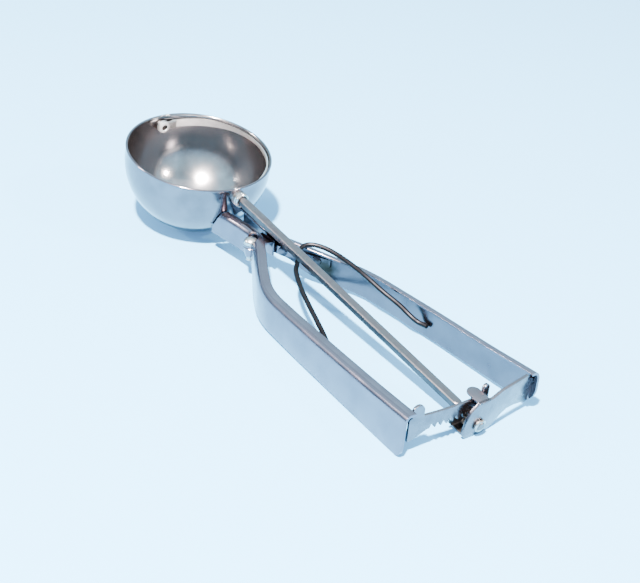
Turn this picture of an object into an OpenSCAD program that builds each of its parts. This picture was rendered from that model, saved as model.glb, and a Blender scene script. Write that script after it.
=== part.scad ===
// Squeeze-handle ice cream scoop: bowl, sweeping scraper blade, geared rod,
// one fixed and one moving sheet handle, rack, pivot pin and return spring.
// Millimetres. +Z is up, +X runs from the bowl to the handle ends.
// The scoop is stored lying on its bowl and on the rear of its handles.

/* [Bowl] */
// outer radius of the bowl
bowl_radius = 30.2; // [25:0.1:35]
// sheet thickness of the bowl
bowl_wall = 0.8; // [0.6:0.1:1.2]
// height of the straight wall between the rod axis and the rim
rim_height = 3.8; // [3:0.1:6]
// radius of the rounded bead along the rim
rim_bead = 0.5; // [0.4:0.05:0.8]
// lean of the rim and the rod while the scoop lies on a table
rod_tilt = 8.1; // [7:0.1:9]

/* [Scraper] */
// gap between the scraper blade and the bowl
blade_gap = 0.4; // [0.3:0.05:0.8]
// sheet thickness of the scraper blade
blade_sheet = 0.5; // [0.4:0.05:0.8]
// width of the scraper blade
blade_width = 6; // [5:0.1:7]
// angle from the rod axis at which the blade band ends
blade_end_angle = 9; // [8:0.5:14]
// thickness of the two eyes of the blade
eye_sheet = 1; // [0.8:0.1:1.4]
// outer radius of the two eyes
eye_radius = 2.7; // [2.4:0.1:3]
// distance from the outer face of the blade to the inner face of an eye
eye_inset = 1.7; // [1.5:0.1:2]

/* [Rod] */
// radius of the round ends of the rod
journal_radius = 1.9; // [1.6:0.05:2.2]
// radial running clearance of the rod in its collar
rod_fit = 0.05; // [0.02:0.01:0.1]
// width of the flat bar of the rod
bar_width = 3.7; // [3:0.1:4]
// thickness of the flat bar of the rod
bar_height = 2.7; // [2:0.1:3]
// corner radius of the flat bar
bar_corner = 0.35; // [0.2:0.05:0.5]
// radius of the rod where it runs in the gear housing
tail_radius = 1.6; // [1.4:0.05:1.8]
// length of the bearing collar
collar_length = 4.8; // [4:0.1:6]
// gap between the collar and the flat bar
bar_start_gap = 1.6; // [0.6:0.1:6.6]
// gap between the flat bar and the gear housing
bar_end_gap = 2.6; // [1.6:0.1:6.6]
// length of the head on the rear end of the rod
cap_length = 1; // [0.3:0.1:1.8]
// radius of the head on the rear end of the rod
cap_radius = 2.5; // [2.2:0.1:2.6]
// outer radius of the bearing collar on the bowl
collar_radius = 3.1; // [2.8:0.1:3.4]

/* [Gearing] */
// gear module of the pinion and the rack
gear_module = 0.8; // [0.7:0.05:0.9]
// number of pinion teeth
pinion_teeth = 8; // [8:1:8]
// height of a tooth above the pitch line, in modules
addendum = 0.75; // [0.6:0.05:0.9]
// depth of a gap below the pitch line, in modules
dedendum = 1.15; // [1.1:0.05:1.3]
// width of a pinion tooth at the pitch line, in tooth pitches
pinion_tooth_share = 0.38; // [0.34:0.01:0.42]
// width of a rack tooth at the pitch line, in tooth pitches
rack_tooth_share = 0.38; // [0.34:0.01:0.42]
// face width of the pinion
pinion_face = 3.4; // [3:0.1:3.6]
// radius of the rack about the pivot pin
rack_radius = 125.3; // [124:0.1:126]
// sheet thickness of the rack plate
rack_sheet = 1.2; // [1:0.1:1.4]
// height of the rack plate above its pitch line
rack_height = 5.4; // [4.9:0.1:5.6]
// tooth gaps to the left of the pinion
gaps_left = 8; // [8:1:9]
// tooth gaps to the right of the pinion
gaps_right = 2; // [2:1:3]

/* [Pivot] */
// distance from the bowl to the pivot pin
neck_reach = 19; // [17.8:0.1:19.8]
// sideways position of the pivot pin
pivot_y = -6.5; // [-6.7:0.1:-6.2]
// radius of the shank of the pivot pin
pin_radius = 1.3; // [1.1:0.05:1.4]
// radius of the domed head of the pin
pin_head = 2.5; // [2.3:0.05:2.6]
// radial running clearance of the pivot pin
pin_fit = 0.06; // [0.02:0.01:0.1]
// height of the pin's domed head
pin_rise = 2.8; // [2.4:0.1:3]
// height of the dome on the pin
pin_dome = 2; // [1:0.1:2.4]
// radius of the hinge knuckle at its lower end
knuckle_small = 1.9; // [1.8:0.05:2.1]
// radius of the hinge knuckle at its upper end
knuckle_large = 2.7; // [2.5:0.05:2.8]
// height of the hinge knuckle
knuckle_height = 4; // [3.6:0.1:4.2]
// thickness of the lug below the knuckle
lower_lug = 1.2; // [1.1:0.1:1.4]
// thickness of the lug above the knuckle
upper_lug = 0.9; // [0.8:0.1:1]
// gap between the knuckle and each lug
lug_gap = 0.3; // [0.25:0.05:0.4]
// gap between the left handle and the fixed lugs and the head of the pin
hinge_gap = 0.35; // [0.3:0.05:0.5]

/* [Handles] */
// sheet thickness of both handles
handle_sheet = 1; // [0.8:0.1:1.2]
// width of the top flange of the left handle
left_flange = 4.6; // [4:0.1:5]
// width of the top flange of the right handle
right_flange = 4; // [3:0.1:5]
// depth of the rounded shoulder between flange and web
shoulder = 2.8; // [2.4:0.1:3.2]
// distance from the middle of the rack to the rear end of the left handle
left_tail = 0.67; // [0.65:0.01:1.65]
// distance from the middle of the rack to the rear end of the right handle
right_tail = 2.5; // [2.1:0.01:3.1]
// radius of the lower rear corner of both handles
corner_radius = 4; // [2:0.5:5]

/* [Bracket and housing] */
// sheet thickness of the neck bracket
bracket_sheet = 1; // [0.8:0.1:1.2]
// width of the neck bracket to the left of the rod
bracket_left = 4.3; // [4:0.1:4.4]
// width of the neck bracket to the right of the rod
bracket_right = 3.5; // [3.3:0.1:3.6]
// depth of the bracket's lower edge below the bowl's centre
bracket_depth = 21.3; // [21.2:0.1:21.4]
// height of the neck bracket
bracket_height = 8.8; // [8.4:0.1:8.8]
// width of the bracket's arm on the right handle
arm_width = 3.4; // [3:0.1:4]
// radius of the studs that hold the arm
stud_radius = 1.3; // [1.1:0.05:1.4]
// radius of the heads of the studs
stud_head = 2; // [1.8:0.1:2.2]
// thickness of the heads of the studs
stud_sheet = 0.55; // [0.4:0.05:0.8]
// thickness of the rear plate of the gear housing
plate_sheet = 1.3; // [1.1:0.1:1.5]
// gap between the pinion and the rear plate
plate_gap = 0.5; // [0.4:0.1:0.7]
// thickness of the front plate and floor of the housing
cheek_sheet = 0.8; // [0.6:0.1:1]
// gap between the pinion and the front plate
cheek_gap = 2; // [1.8:0.1:2.4]
// half width of the housing box
cheek_half = 6.4; // [6:0.1:6.6]
// depth of the housing box below the rod axis
housing_depth = 4.75; // [4.6:0.05:4.8]
// half width of the guide tab over the rack
tab_half = 2.7; // [2.5:0.1:2.8]
// sideways offset of the guide tab
tab_shift = 0.2; // [0:0.1:0.3]
// underside of the guide tab above the rod axis
tab_low = 9.3; // [9.2:0.1:9.6]
// length of the guide tab in front of the rear plate
tab_length = 7.4; // [6.3:0.1:8.3]

/* [Spring] */
// radius of the spring wire
wire_radius = 0.9; // [0.8:0.05:1]

/* [Hidden] */
// length added to cutting shapes so that they pass through
over = 1;
// distance from the work origin to the row origin
row_x = 74.44;
row_y = -0.97;
// segments on round parts
round_fn = 48;
fine_fn = 96;
bowl_inner = bowl_radius - bowl_wall;
blade_outer = bowl_inner - blade_gap;
pitch = PI * gear_module;
pitch_radius = pinion_teeth * gear_module / 2;
tip_radius = pitch_radius + addendum * gear_module;
root_radius = pitch_radius - dedendum * gear_module;
pivot_x = bowl_radius + neck_reach;
rack_mid_x = pivot_x + sqrt(pow(rack_radius, 2) - pow(pivot_y, 2));
pinion_mid = rack_mid_x / cos(rod_tilt);
pitch_height = bowl_radius - rack_mid_x * tan(rod_tilt) + pitch_radius / cos(rod_tilt);
rest_angle = asin(-pivot_y / rack_radius);
gap_angle = pitch / rack_radius * 180 / PI;
// free space beside the eyes and the head of the rod
eye_play = 0.3;
eye_offset = blade_outer - eye_inset;
collar_start = eye_offset + eye_sheet + eye_play;
collar_end = collar_start + collar_length;
bar_start = collar_end + bar_start_gap;
plate_face = pinion_mid + pinion_face / 2 + plate_gap;
cheek_face = pinion_mid - pinion_face / 2 - cheek_gap;
bar_end = cheek_face - cheek_sheet - bar_end_gap;
cap_start = plate_face + plate_sheet + eye_play;
cap_end = cap_start + cap_length;
rod_end = cap_end + eye_play;
tab_front = plate_face - tab_length;
left_end = rack_mid_x + left_tail;
right_end = rack_mid_x + right_tail;
bracket_low = bowl_radius - bracket_depth;
bracket_high = bracket_low + bracket_height;
lug_low = bracket_low + lower_lug;
knuckle_low = lug_low + lug_gap;
knuckle_high = knuckle_low + knuckle_height;
lug_high = knuckle_high + lug_gap;
lug_top = lug_high + upper_lug;
pin_top = lug_top + pin_rise;
// thickness of the right web with the bracket's arm
stack = handle_sheet + bracket_sheet;
// shank, head and bore of the front rivet
rivet_radius = 1.25;
rivet_head = 1.8;
rivet_bore = 0.85;
rivet_sheet = 0.6;
// height and sideways reach of the lugs that carry the blade's eyes
eye_lug = 4.4;
eye_reach = sqrt(pow(blade_outer + 0.05, 2) - pow(eye_offset + eye_sheet, 2) - pow(eye_lug / 2, 2));

// Handle shapes: distance behind the pin, offset outwards, then the depths of the lower and
// the upper edge below the bowl's centre.
left_shape = [
    [-25.6, 7.45, 21.3, 10.6], [-21.2, 6.9, 21.3, 10.6], [-15.2, 6.3, 21.3, 10.6],
    [-9.2, 5.85, 21.2, 10.7], [-3.2, 5.9, 21.2, 10.9], [1.8, 7.4, 21.2, 11.3],
    [6.8, 10.1, 22, 12.1], [11.8, 13.1, 25, 13.1], [16.8, 16.1, 27.5, 14],
    [21.8, 18.9, 28.4, 14.7], [27.8, 21.8, 28.6, 15.2], [35.8, 24.2, 28.7, 15.4],
    [46.8, 25.6, 28.8, 15.3], [60.8, 27, 29, 15], [75.8, 28.3, 29.2, 14.7],
    [90.8, 29.5, 29.5, 14.4], [105.8, 30.7, 29.8, 14], [116.8, 31.6, 30.05, 13.5],
    [125.8, 32.3, 30.2, 13.1]];
right_shape = [
    [-22.2, 6.7, 21.3, 10.7], [-15.2, 5.9, 21.3, 10.7], [-9.2, 5.2, 21.2, 10.8],
    [-3.2, 5.2, 21.2, 11.1], [1.8, 6.5, 21.2, 11.6], [6.8, 9, 22, 12.2],
    [11.8, 11.9, 25, 12.9], [16.8, 14.9, 27, 13.8], [21.8, 17.9, 27.7, 14.6],
    [27.8, 20.9, 28, 15.2], [35.8, 24, 28.4, 15.4], [46.8, 25.8, 28.8, 15.4],
    [60.8, 26.5, 28.9, 15.1], [75.8, 27.3, 28.7, 14.9], [90.8, 27.7, 28.6, 14.6],
    [105.8, 28, 28.4, 14.2], [118.8, 28.2, 27.9, 13.5], [127.6, 28.35, 27.6, 13.1]];
// Spring wire from its hook in the right handle to the one in the left: distance behind the
// pin, sideways position and depth below the bowl's centre.
wire_shape = [
    [72.1, 25, 23.5], [70.1, 24.6, 23.5], [68.1, 23.8, 23.3], [65.3, 22.5, 21.9],
    [59.6, 21.4, 19.7], [53.4, 19.8, 17.8], [48.8, 18.4, 16], [42.8, 17.5, 14.3],
    [36, 17.2, 13.4], [27.6, 16.4, 12.7], [21, 14.4, 11.9], [17, 11.8, 11.7], [16, 8.6, 12.2],
    [17.7, 5.2, 13.2], [20.4, 2.2, 13.9], [23.4, -1.1, 14.2], [26.8, -4, 14.3],
    [31.8, -6.7, 14.8], [38.8, -9.8, 15.6], [48.3, -13.1, 16.8], [57.4, -16.1, 18],
    [64.3, -18.4, 19], [70.8, -21, 19.9], [74.8, -23.2, 20.4], [76.8, -25, 20.6],
    [78, -26.2, 20.7]];
// Behind this distance from the pin the shapes are stretched with the reach of the rack.
neck_end = 28;
drawn_reach = left_shape[len(left_shape) - 1][0] - left_tail;
stretch = (rack_mid_x - pivot_x - neck_end) / (drawn_reach - neck_end);
function grip_x(d) = pivot_x + min(d, neck_end) + max(d - neck_end, 0) * stretch;
function placed(shape, end) = let (n = len(shape) - 1) [for (i = [0:n]) let (q = shape[i])
    [i == n ? end : grip_x(q[0]), q[1], bowl_radius - q[2], bowl_radius - q[3]]];
left_stations = placed(left_shape, left_end);
right_stations = placed(right_shape, right_end);
wire_points = [for (q = wire_shape) [grip_x(q[0]), q[1], bowl_radius - q[2]]];

// Smooth curve through a list of points, with k steps between two of them.
function blend4(a, b, c, d, t) = 0.5 * (2 * b + (c - a) * t
    + (2 * a - 5 * b + 4 * c - d) * t * t + (3 * b - a - 3 * c + d) * t * t * t);
function smooth(p, k) = let (n = len(p) - 1) [
    for (i = [0:n - 1]) for (j = [0:k - 1])
        blend4(p[max(i - 1, 0)], p[i], p[i + 1], p[min(i + 2, n)], j / k),
    p[n]];
function unit(v) = v / norm(v);
function flat(p) = [p[0], p[1]];
// Direction of travel of a path at point i.
function run(p, i) = unit(p[min(i + 1, len(p) - 1)] - p[max(i - 1, 0)]);
function run_flat(p, i) = unit(flat(p[min(i + 1, len(p) - 1)]) - flat(p[max(i - 1, 0)]));
// A point of the plan curve, moved inwards by d.
function inset(p, i, d) = let (t = run_flat(p, i)) [p[i][0] + t[1] * d, p[i][1] - t[0] * d];
// Plan outline of the band between two insets, over a range of x.
function band(p, d0, d1, x0, x1) = let (s = [for (i = [0:len(p) - 1])
    if (p[i][0] >= x0 && p[i][0] <= x1) i]) concat(
    [for (i = s) inset(p, i, d0)],
    [for (k = [len(s) - 1:-1:0]) inset(p, s[k], d1)]);
// Cross-section of a handle: inset and height for each corner.
function handle_section(low, high, w, t) = [
    [0, low], [0, high - shoulder], [0.25, high - 1.5], [0.9, high - 0.5], [1.9, high],
    [w, high], [w, high - t], [2.2, high - t], [1.6, high - 1.4], [1.15, high - 2.2],
    [t, high - shoulder - 0.3], [t, low]];

module sweep(rings) {
    n = len(rings);
    m = len(rings[0]);
    points = [for (r = rings) for (q = r) q];
    sides = [for (i = [0:n - 2]) for (j = [0:m - 1]) let (k = (j + 1) % m) each [
        [i * m + j, i * m + k, (i + 1) * m + k],
        [i * m + j, (i + 1) * m + k, (i + 1) * m + j]]];
    caps = [for (j = [0:m / 2 - 2]) for (e = [0, (n - 1) * m])
        let (q = [j, j + 1, m - 2 - j, m - 1 - j]) each (e == 0)
            ? [[q[0], q[2], q[1]], [q[0], q[3], q[2]]]
            : [[e + q[0], e + q[1], e + q[2]], [e + q[0], e + q[2], e + q[3]]]];
    polyhedron(points = points, faces = concat(sides, caps), convexity = 8);
}

module handle_shell(stations, width) {
    p = smooth(stations, 3);
    sweep([for (i = [0:len(p) - 1])
        [for (c = handle_section(p[i][2], p[i][3], width, handle_sheet))
            let (q = inset(p, i, c[0])) [q[0], q[1], c[1]]]]);
}

module tube(path, radius, sides) {
    sweep([for (i = [0:len(path) - 1])
        let (t = run(path, i), s = unit(cross([0, 0, 1], t)), u = cross(t, s))
        [for (j = [0:sides - 1])
            path[i] + radius * (cos(j * 360 / sides) * s + sin(j * 360 / sides) * u)]]);
}

// Moves a shape from the work frame to the row frame.
module in_row() translate([-row_x, -row_y, 0]) children();
// Frame of the rod: X along the rod, Z at right angles to the rim, origin at the bowl centre.
module on_rod() in_row() translate([0, 0, bowl_radius]) rotate([0, rod_tilt, 0]) children();
// A round bar along the rod, from a to b.
module along(a, b, r, f = round_fn) translate([a, 0, 0]) rotate([0, 90, 0])
    cylinder(h = b - a, r = r, $fn = f);
// A shape drawn as [y, z] and extended along the rod from a to b.
module slab(a, b) translate([a, 0, 0]) rotate([90, 0, 90])
    linear_extrude(height = b - a) children();
// An upright round bar on the pivot axis.
module on_pivot(a, b, r, r_top = 0) translate([pivot_x, pivot_y, a])
    cylinder(h = b - a, r1 = r, r2 = r_top == 0 ? r : r_top, $fn = round_fn);

module bowl() color("silver") on_rod() difference() {
    rotate_extrude($fn = fine_fn) union() {
        polygon(concat(
            [for (i = [0:20]) bowl_radius * [cos(-90 + i * 4.5), sin(-90 + i * 4.5)]],
            [[bowl_radius, rim_height], [bowl_inner, rim_height]],
            [for (i = [20:-1:0]) bowl_inner * [cos(-90 + i * 4.5), sin(-90 + i * 4.5)]]));
        translate([bowl_radius - rim_bead + 0.15, rim_height]) circle(r = rim_bead, $fn = 20);
    }
    along(bowl_inner - over - 1, bowl_radius + over, collar_radius);
    along(-bowl_radius - over, -bowl_inner + over, rivet_radius);
}

module front_pivot_rivet() color("gainsboro") on_rod() difference() {
    union() {
        along(-bowl_radius - rivet_sheet / 2, eye_play - eye_offset + rivet_sheet / 2, rivet_radius);
        along(-bowl_radius - rivet_sheet, -bowl_radius - 0.02, rivet_head);
        along(eye_play - eye_offset, eye_play - eye_offset + rivet_sheet, rivet_head);
    }
    along(-eye_offset - 1.5 * eye_sheet, eye_play - eye_offset + rivet_sheet + over, rivet_bore);
}

module rod_bearing_collar() color("lightgray") on_rod() difference() {
    along(collar_start, collar_end, collar_radius);
    along(collar_start - over, collar_end + over, journal_radius + rod_fit);
}

module blade_eye(hole) difference() {
    union() {
        along(eye_offset, eye_offset + eye_sheet, eye_radius);
        translate([eye_offset, 0, -eye_lug / 2]) cube([eye_sheet, eye_reach, eye_lug]);
    }
    along(eye_offset - over, eye_offset + eye_sheet + over, hole);
}

// Point i of the blade's section, as [radius, height], moved inwards by d.
function blade_edge(i, d) = let (h = i * blade_width / 6) [sqrt(pow(blade_outer, 2) - h * h) - d, h];

module scraper_blade() color("lightsteelblue") on_rod() union() {
    rotate([0, 0, blade_end_angle]) rotate_extrude(angle = 180 - 2 * blade_end_angle, $fn = fine_fn)
        polygon(concat([for (i = [-3:3]) blade_edge(i, 0)],
            [for (i = [3:-1:-3]) blade_edge(i, blade_sheet)]));
    blade_eye(journal_radius);
    mirror([1, 0, 0]) blade_eye(rivet_radius + rod_fit);
}

module scraper_rod() color("rosybrown") on_rod() union() {
    along(eye_offset + 0.02, bar_start + over, journal_radius);
    slab(bar_start, bar_end) offset(r = bar_corner, $fn = 16)
        square([bar_width - 2 * bar_corner, bar_height - 2 * bar_corner], center = true);
    along(bar_end - over, rod_end, tail_radius);
}

function tooth(a, r0, r1, w0, w1) = [
    [r0 * sin(a) - w0 * cos(a), r0 * cos(a) + w0 * sin(a)],
    [r1 * sin(a) - w1 * cos(a), r1 * cos(a) + w1 * sin(a)],
    [r1 * sin(a) + w1 * cos(a), r1 * cos(a) - w1 * sin(a)],
    [r0 * sin(a) + w0 * cos(a), r0 * cos(a) - w0 * sin(a)]];

// half widths of a pinion tooth at its root and tip, as shares of its width at the pitch line
root_share = 0.62;
tip_share = 0.28;
module pinion() color("dimgray") on_rod() difference() {
    slab(pinion_mid - pinion_face / 2, pinion_mid + pinion_face / 2)
        polygon([for (k = [0:pinion_teeth - 1]) each tooth((k + 0.5) * 360 / pinion_teeth,
            root_radius, tip_radius, pitch * pinion_tooth_share * root_share,
            pitch * pinion_tooth_share * tip_share)]);
    along(pinion_mid - pinion_face, pinion_mid + pinion_face, tail_radius);
}

// width and depth of the notch in the head of the rod
notch = [1, 0.5];
module rod_end_cap() color("silver") on_rod() difference() {
    along(cap_start, cap_end, cap_radius);
    along(plate_face, rod_end + over, tail_radius);
    translate([plate_face, -notch[0] / 2, cap_radius - notch[1]])
        cube([rod_end - plate_face, notch[0], notch[1] + over]);
}

module plate(z, h) translate([0, 0, z]) linear_extrude(height = h) children();
// A sheet strip that follows the inner face of a handle web.
module lining(stations, t, x0, x1) polygon(band(smooth(stations, 3),
    handle_sheet, handle_sheet + t, x0, x1));
// Round lug about the pin, on a neck that stays clear of the cut edges of the moving web.
neck_step = 0.65;
module lug(r) union() {
    translate([pivot_x, pivot_y]) circle(r = r, $fn = round_fn);
    translate([pivot_x - r + neck_step, pivot_y]) square([2 * (r - neck_step), -pivot_y]);
}
bracket_front = bowl_radius * 0.4;
bracket_end = pivot_x + knuckle_large;
roof_end = pivot_x - pin_head - bracket_sheet - hinge_gap;
arm_start = pivot_x - 3 * knuckle_large;
arm_length = 22;
arm_end = pivot_x + arm_length;
arm_low = bracket_low + 0.9;
// Sheet of the bracket in plan, from x0 to x1, with its left edge s inside the bracket's side.
module bracket_plan(x0, x1, s) translate([x0, s - bracket_left])
    square([x1 - x0, bracket_left + bracket_right - s]);
module back_wall(x0, x1, z1) plate(bracket_low, z1 - bracket_low)
    translate([x0, bracket_right - bracket_sheet]) square([x1 - x0, bracket_sheet]);

module neck_bracket() color("lightslategray") in_row() difference() {
    union() {
        plate(bracket_high - bracket_sheet, bracket_sheet)
            bracket_plan(bracket_front, roof_end, bracket_sheet / 2);
        plate(bracket_low, lower_lug) union() {
            bracket_plan(bracket_front, bracket_end, 0);
            lug(knuckle_small);
        }
        plate(lug_high, upper_lug) union() {
            bracket_plan(roof_end - 2 * bracket_sheet, bracket_end, bracket_sheet / 2);
            lug(pin_head);
        }
        back_wall(bracket_front, roof_end, bracket_high);
        back_wall(roof_end - bracket_sheet, bracket_end, lug_top);
        plate(arm_low, arm_width) lining(right_stations, bracket_sheet, arm_start, arm_end);
    }
    translate([0, 0, bowl_radius]) sphere(r = bowl_radius, $fn = fine_fn);
    on_pivot(bracket_low - over, pin_top, pin_radius);
    rivet_places() rivet_shank();
}

// height and overhang of the riveted foot of the pin
pin_foot = 0.6;
module pivot_pin() color("silver") in_row() union() {
    on_pivot(bracket_low - pin_foot, pin_top - pin_dome, pin_radius);
    on_pivot(bracket_low - pin_foot, bracket_low, pin_radius + pin_foot);
    translate([pivot_x, pivot_y, pin_top - pin_dome]) rotate_extrude($fn = round_fn) polygon(concat(
        [[0, pin_dome - pin_rise], [pin_head, pin_dome - pin_rise]],
        [for (i = [0:8]) [pin_head * cos(i * 11.25), pin_dome * sin(i * 11.25)]]));
}

module hinge_knuckle() color("lightsteelblue") in_row() difference() {
    on_pivot(knuckle_low, knuckle_high, knuckle_small, knuckle_large);
    on_pivot(lug_low, lug_high, pin_radius + pin_fit);
}

// Cutter that rounds off the lower rear corner of a handle that ends at station q.
module rear_corner(q, w) translate([q[0] - corner_radius, q[1] - w, q[2]]) difference() {
    translate([0, 0, -over]) cube([corner_radius + over, 2 * w, corner_radius + over]);
    translate([0, -over, corner_radius]) rotate([-90, 0, 0])
        cylinder(h = 2 * (w + over), r = corner_radius, $fn = round_fn);
}

module left_handle() color("lightsteelblue") in_row() difference() {
    mirror([0, 1, 0]) handle_shell(left_stations, left_flange);
    translate([0, 0, bowl_radius]) sphere(r = bowl_radius + 0.5, $fn = fine_fn);
    on_pivot(bracket_low - over, knuckle_low, knuckle_small + hinge_gap);
    on_pivot(knuckle_low, knuckle_high, knuckle_small, knuckle_large);
    on_pivot(knuckle_high, pin_top + pin_rise, pin_head + hinge_gap);
    mirror([0, 1, 0]) rear_corner(left_stations[len(left_stations) - 1], left_flange);
}

module right_handle() color("lightsteelblue") in_row() difference() {
    handle_shell(right_stations, right_flange);
    translate([0, 0, bowl_radius]) sphere(r = bowl_radius + 0.3, $fn = fine_fn);
    rear_corner(right_stations[len(right_stations) - 1], right_flange);
    rivet_places() rivet_shank();
}

function near(p, x) = max([for (i = [0:len(p) - 1]) if (p[i][0] <= x) i]);
// Puts a shape on the outer face of the right web, with Z pointing inwards.
module on_web(x, z) {
    p = smooth(right_stations, 3);
    i = near(p, x);
    t = run_flat(p, i);
    translate([p[i][0], p[i][1], z]) rotate([0, 0, atan2(t[1], t[0])]) rotate([90, 0, 0])
        children();
}
// distances of the two studs behind the pin, and the play under their heads
stud_places = [4.8, 17.3];
stud_play = 0.1;
module rivet_places() union() {
    on_web(pivot_x + stud_places[0], arm_low + arm_width / 2) children();
    on_web(pivot_x + stud_places[1], arm_low + arm_width / 2) children();
}
module rivet_shank() translate([0, 0, -over])
    cylinder(h = stack + 2 * over, r = stud_radius, $fn = round_fn);
module rivet() translate([0, 0, -stud_play - stud_sheet]) union() {
    cylinder(h = stud_sheet, r = stud_head, $fn = round_fn);
    cylinder(h = stack + 2 * (stud_play + stud_sheet), r = stud_radius, $fn = round_fn);
    translate([0, 0, stack + 2 * stud_play + stud_sheet])
        cylinder(h = stud_sheet, r = stud_head, $fn = round_fn);
}
module bracket_rivets() color("tan") in_row() rivet_places() rivet();

// Outlines of the rear plate of the housing and of its wing, as [sideways, above the rod axis].
plate_outline = [[-4.8, -housing_depth], [3.3, -housing_depth], [3.3, 10.1], [-2.5, 10.1],
    [-2.9, 9.2], [-5.1, 7], [-6.3, 3], [-6.5, -3], [-5.8, -4.1]];
wing_outline = [[0, -4.5], [2.3, -4.5], [4.9, -3.8], [9, -0.9], [12, 0.4], [16, 0.8], [23.9, 1],
    [23.9, 8.6], [20.6, 9.4], [20.6, 11.3], [6, 11.1], [1.5, 9.9], [0, 9.9]];
// place and angle of the bend between the rear plate and its wing, and the sheet of the wing
wing_from = 3;
wing_angle = 9;
wing_sheet = plate_sheet - 0.2;
cheek_outline = [[-cheek_half, 3.4], [-cheek_half, -3], [-4.8, -housing_depth],
    [4.8, -housing_depth], [cheek_half, -3], [cheek_half, 3.4], [3.5, 4.6], [-3.5, 4.6]];
// left and right edge of the floor of the housing, and sheets of the floor, tab and leg
floor_span = [-4.8, 1.5];
floor_sheet = 0.6;
tab_sheet = 0.8;
leg_sheet = 1.1;
// foot below the pitch line, height and length of the leg that is welded to the right web
leg_drop = 4.2;
leg_height = 9.8;
leg_length = 4.6;

module gear_housing() color("lightslategray") on_rod() difference() {
    union() {
        slab(plate_face, plate_face + plate_sheet) polygon(plate_outline);
        translate([plate_face + plate_sheet / 2, wing_from, 0]) rotate([0, 0, wing_angle])
            slab(-wing_sheet / 2, wing_sheet / 2) polygon(wing_outline);
        slab(cheek_face - cheek_sheet, cheek_face) polygon(cheek_outline);
        slab(cheek_face - cheek_sheet / 2, plate_face + plate_sheet / 2)
            translate([floor_span[0], -housing_depth])
                square([floor_span[1] - floor_span[0], floor_sheet]);
        translate([0, 0, tab_low]) linear_extrude(height = tab_sheet) union() {
            translate([tab_front + tab_half, tab_shift - tab_half])
                square([plate_face + plate_sheet - tab_front - tab_half, 2 * tab_half]);
            translate([tab_front + tab_half, tab_shift]) circle(r = tab_half, $fn = round_fn);
        }
        rotate([0, -rod_tilt, 0]) translate([0, 0, -bowl_radius])
            plate(pitch_height - leg_drop, leg_height)
                lining(right_stations, leg_sheet, right_end - leg_length, right_end + over);
    }
    along(bar_end, rod_end + over, tail_radius + rod_fit);
}

rack_low = pitch_height - addendum * gear_module;
rack_gap_top = pitch_height + dedendum * gear_module;
rack_top = pitch_height + rack_height;
gap_half = pitch * (1 - rack_tooth_share) / 2;
flank = tan(20);
// length of the lining that joins the rack to the left web, and of the blank around the rack
rack_leg = 12.4;
rack_blank = 20;
// depth of the lining below the teeth, and its distance below the upper edge of the rack
rack_skirt = 3.4;
rack_step = 0.6;
// Outline of the rack plate, as [sideways, height above its lower or upper edge].
rack_outline = concat(
    [for (q = [[-40, -rack_skirt], [-27.2, -rack_skirt], [-20.8, 0], [6.2, 0]])
        [q[0], rack_low + q[1]]],
    [for (q = [[6.2, 3.4], [5.7, 3.9], [3.7, 3.9], [3.2, 3.4], [3.2, 0], [-22.7, 0], [-22.7, 3.9],
        [-23.3, 4.5], [-26.8, 4.5], [-27.4, 3.9], [-27.4, 0], [-40, 0]]) [q[0], rack_top + q[1]]]);
module rack_disc(side) translate([pivot_x, pivot_y])
    circle(r = rack_radius + side * rack_sheet / 2, $fn = 360);

module rack_plate() color("slategray") in_row() union() {
    difference() {
        intersection() {
            plate(0, 2 * rack_top) difference() {
                rack_disc(1);
                rack_disc(-1);
            }
            slab(rack_mid_x - rack_blank, rack_mid_x + rack_blank) polygon(rack_outline);
        }
        for (i = [-gaps_left:gaps_right - 1]) translate([pivot_x, pivot_y, 0])
            rotate([0, 0, rest_angle + (i + 0.5) * gap_angle])
                translate([rack_radius - 2 * rack_sheet, 0, 0]) slab(0, 4 * rack_sheet) polygon([
                    [-gap_half - (addendum * gear_module + over) * flank, rack_low - over],
                    [gap_half + (addendum * gear_module + over) * flank, rack_low - over],
                    [gap_half - dedendum * gear_module * flank, rack_gap_top],
                    [dedendum * gear_module * flank - gap_half, rack_gap_top]]);
        mirror([0, 1, 0]) plate(-over, 3 * rack_top) polygon(band(smooth(left_stations, 3),
            -rack_blank, handle_sheet, rack_mid_x - 2 * rack_blank, left_end + over));
    }
    plate(rack_low - rack_skirt, rack_top - rack_low + rack_skirt - rack_step) intersection() {
        mirror([0, 1]) lining(left_stations, rack_sheet, rack_mid_x - rack_leg, left_end + over);
        rack_disc(1);
    }
}

module return_spring() color("darkslateblue") in_row()
    tube(smooth(wire_points, 4), wire_radius, 14);

bowl();
rod_bearing_collar();
front_pivot_rivet();
scraper_blade();
scraper_rod();
pinion();
rod_end_cap();
neck_bracket();
bracket_rivets();
pivot_pin();
right_handle();
gear_housing();
left_handle();
hinge_knuckle();
rack_plate();
return_spring();
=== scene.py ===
"""Looks of a squeeze-handle ice cream scoop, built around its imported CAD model.

Sizes are millimetres in the work frame: the bowl touches the table at the origin, +X runs to
the handle ends, +Y to the fixed handle and +Z up. Meshes are stored in the row frame, in metres.
"""

import logging
import math
from dataclasses import dataclass, field, replace
from enum import Enum
from functools import cache
from typing import Any, Callable, Optional, Sequence

import bmesh
import bpy
from bmesh.types import BMesh, BMVert
from bpy.types import Material, MeshPolygon, Node, NodeSocket, NodeTree, Object
from mathutils import Matrix, Vector


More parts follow.
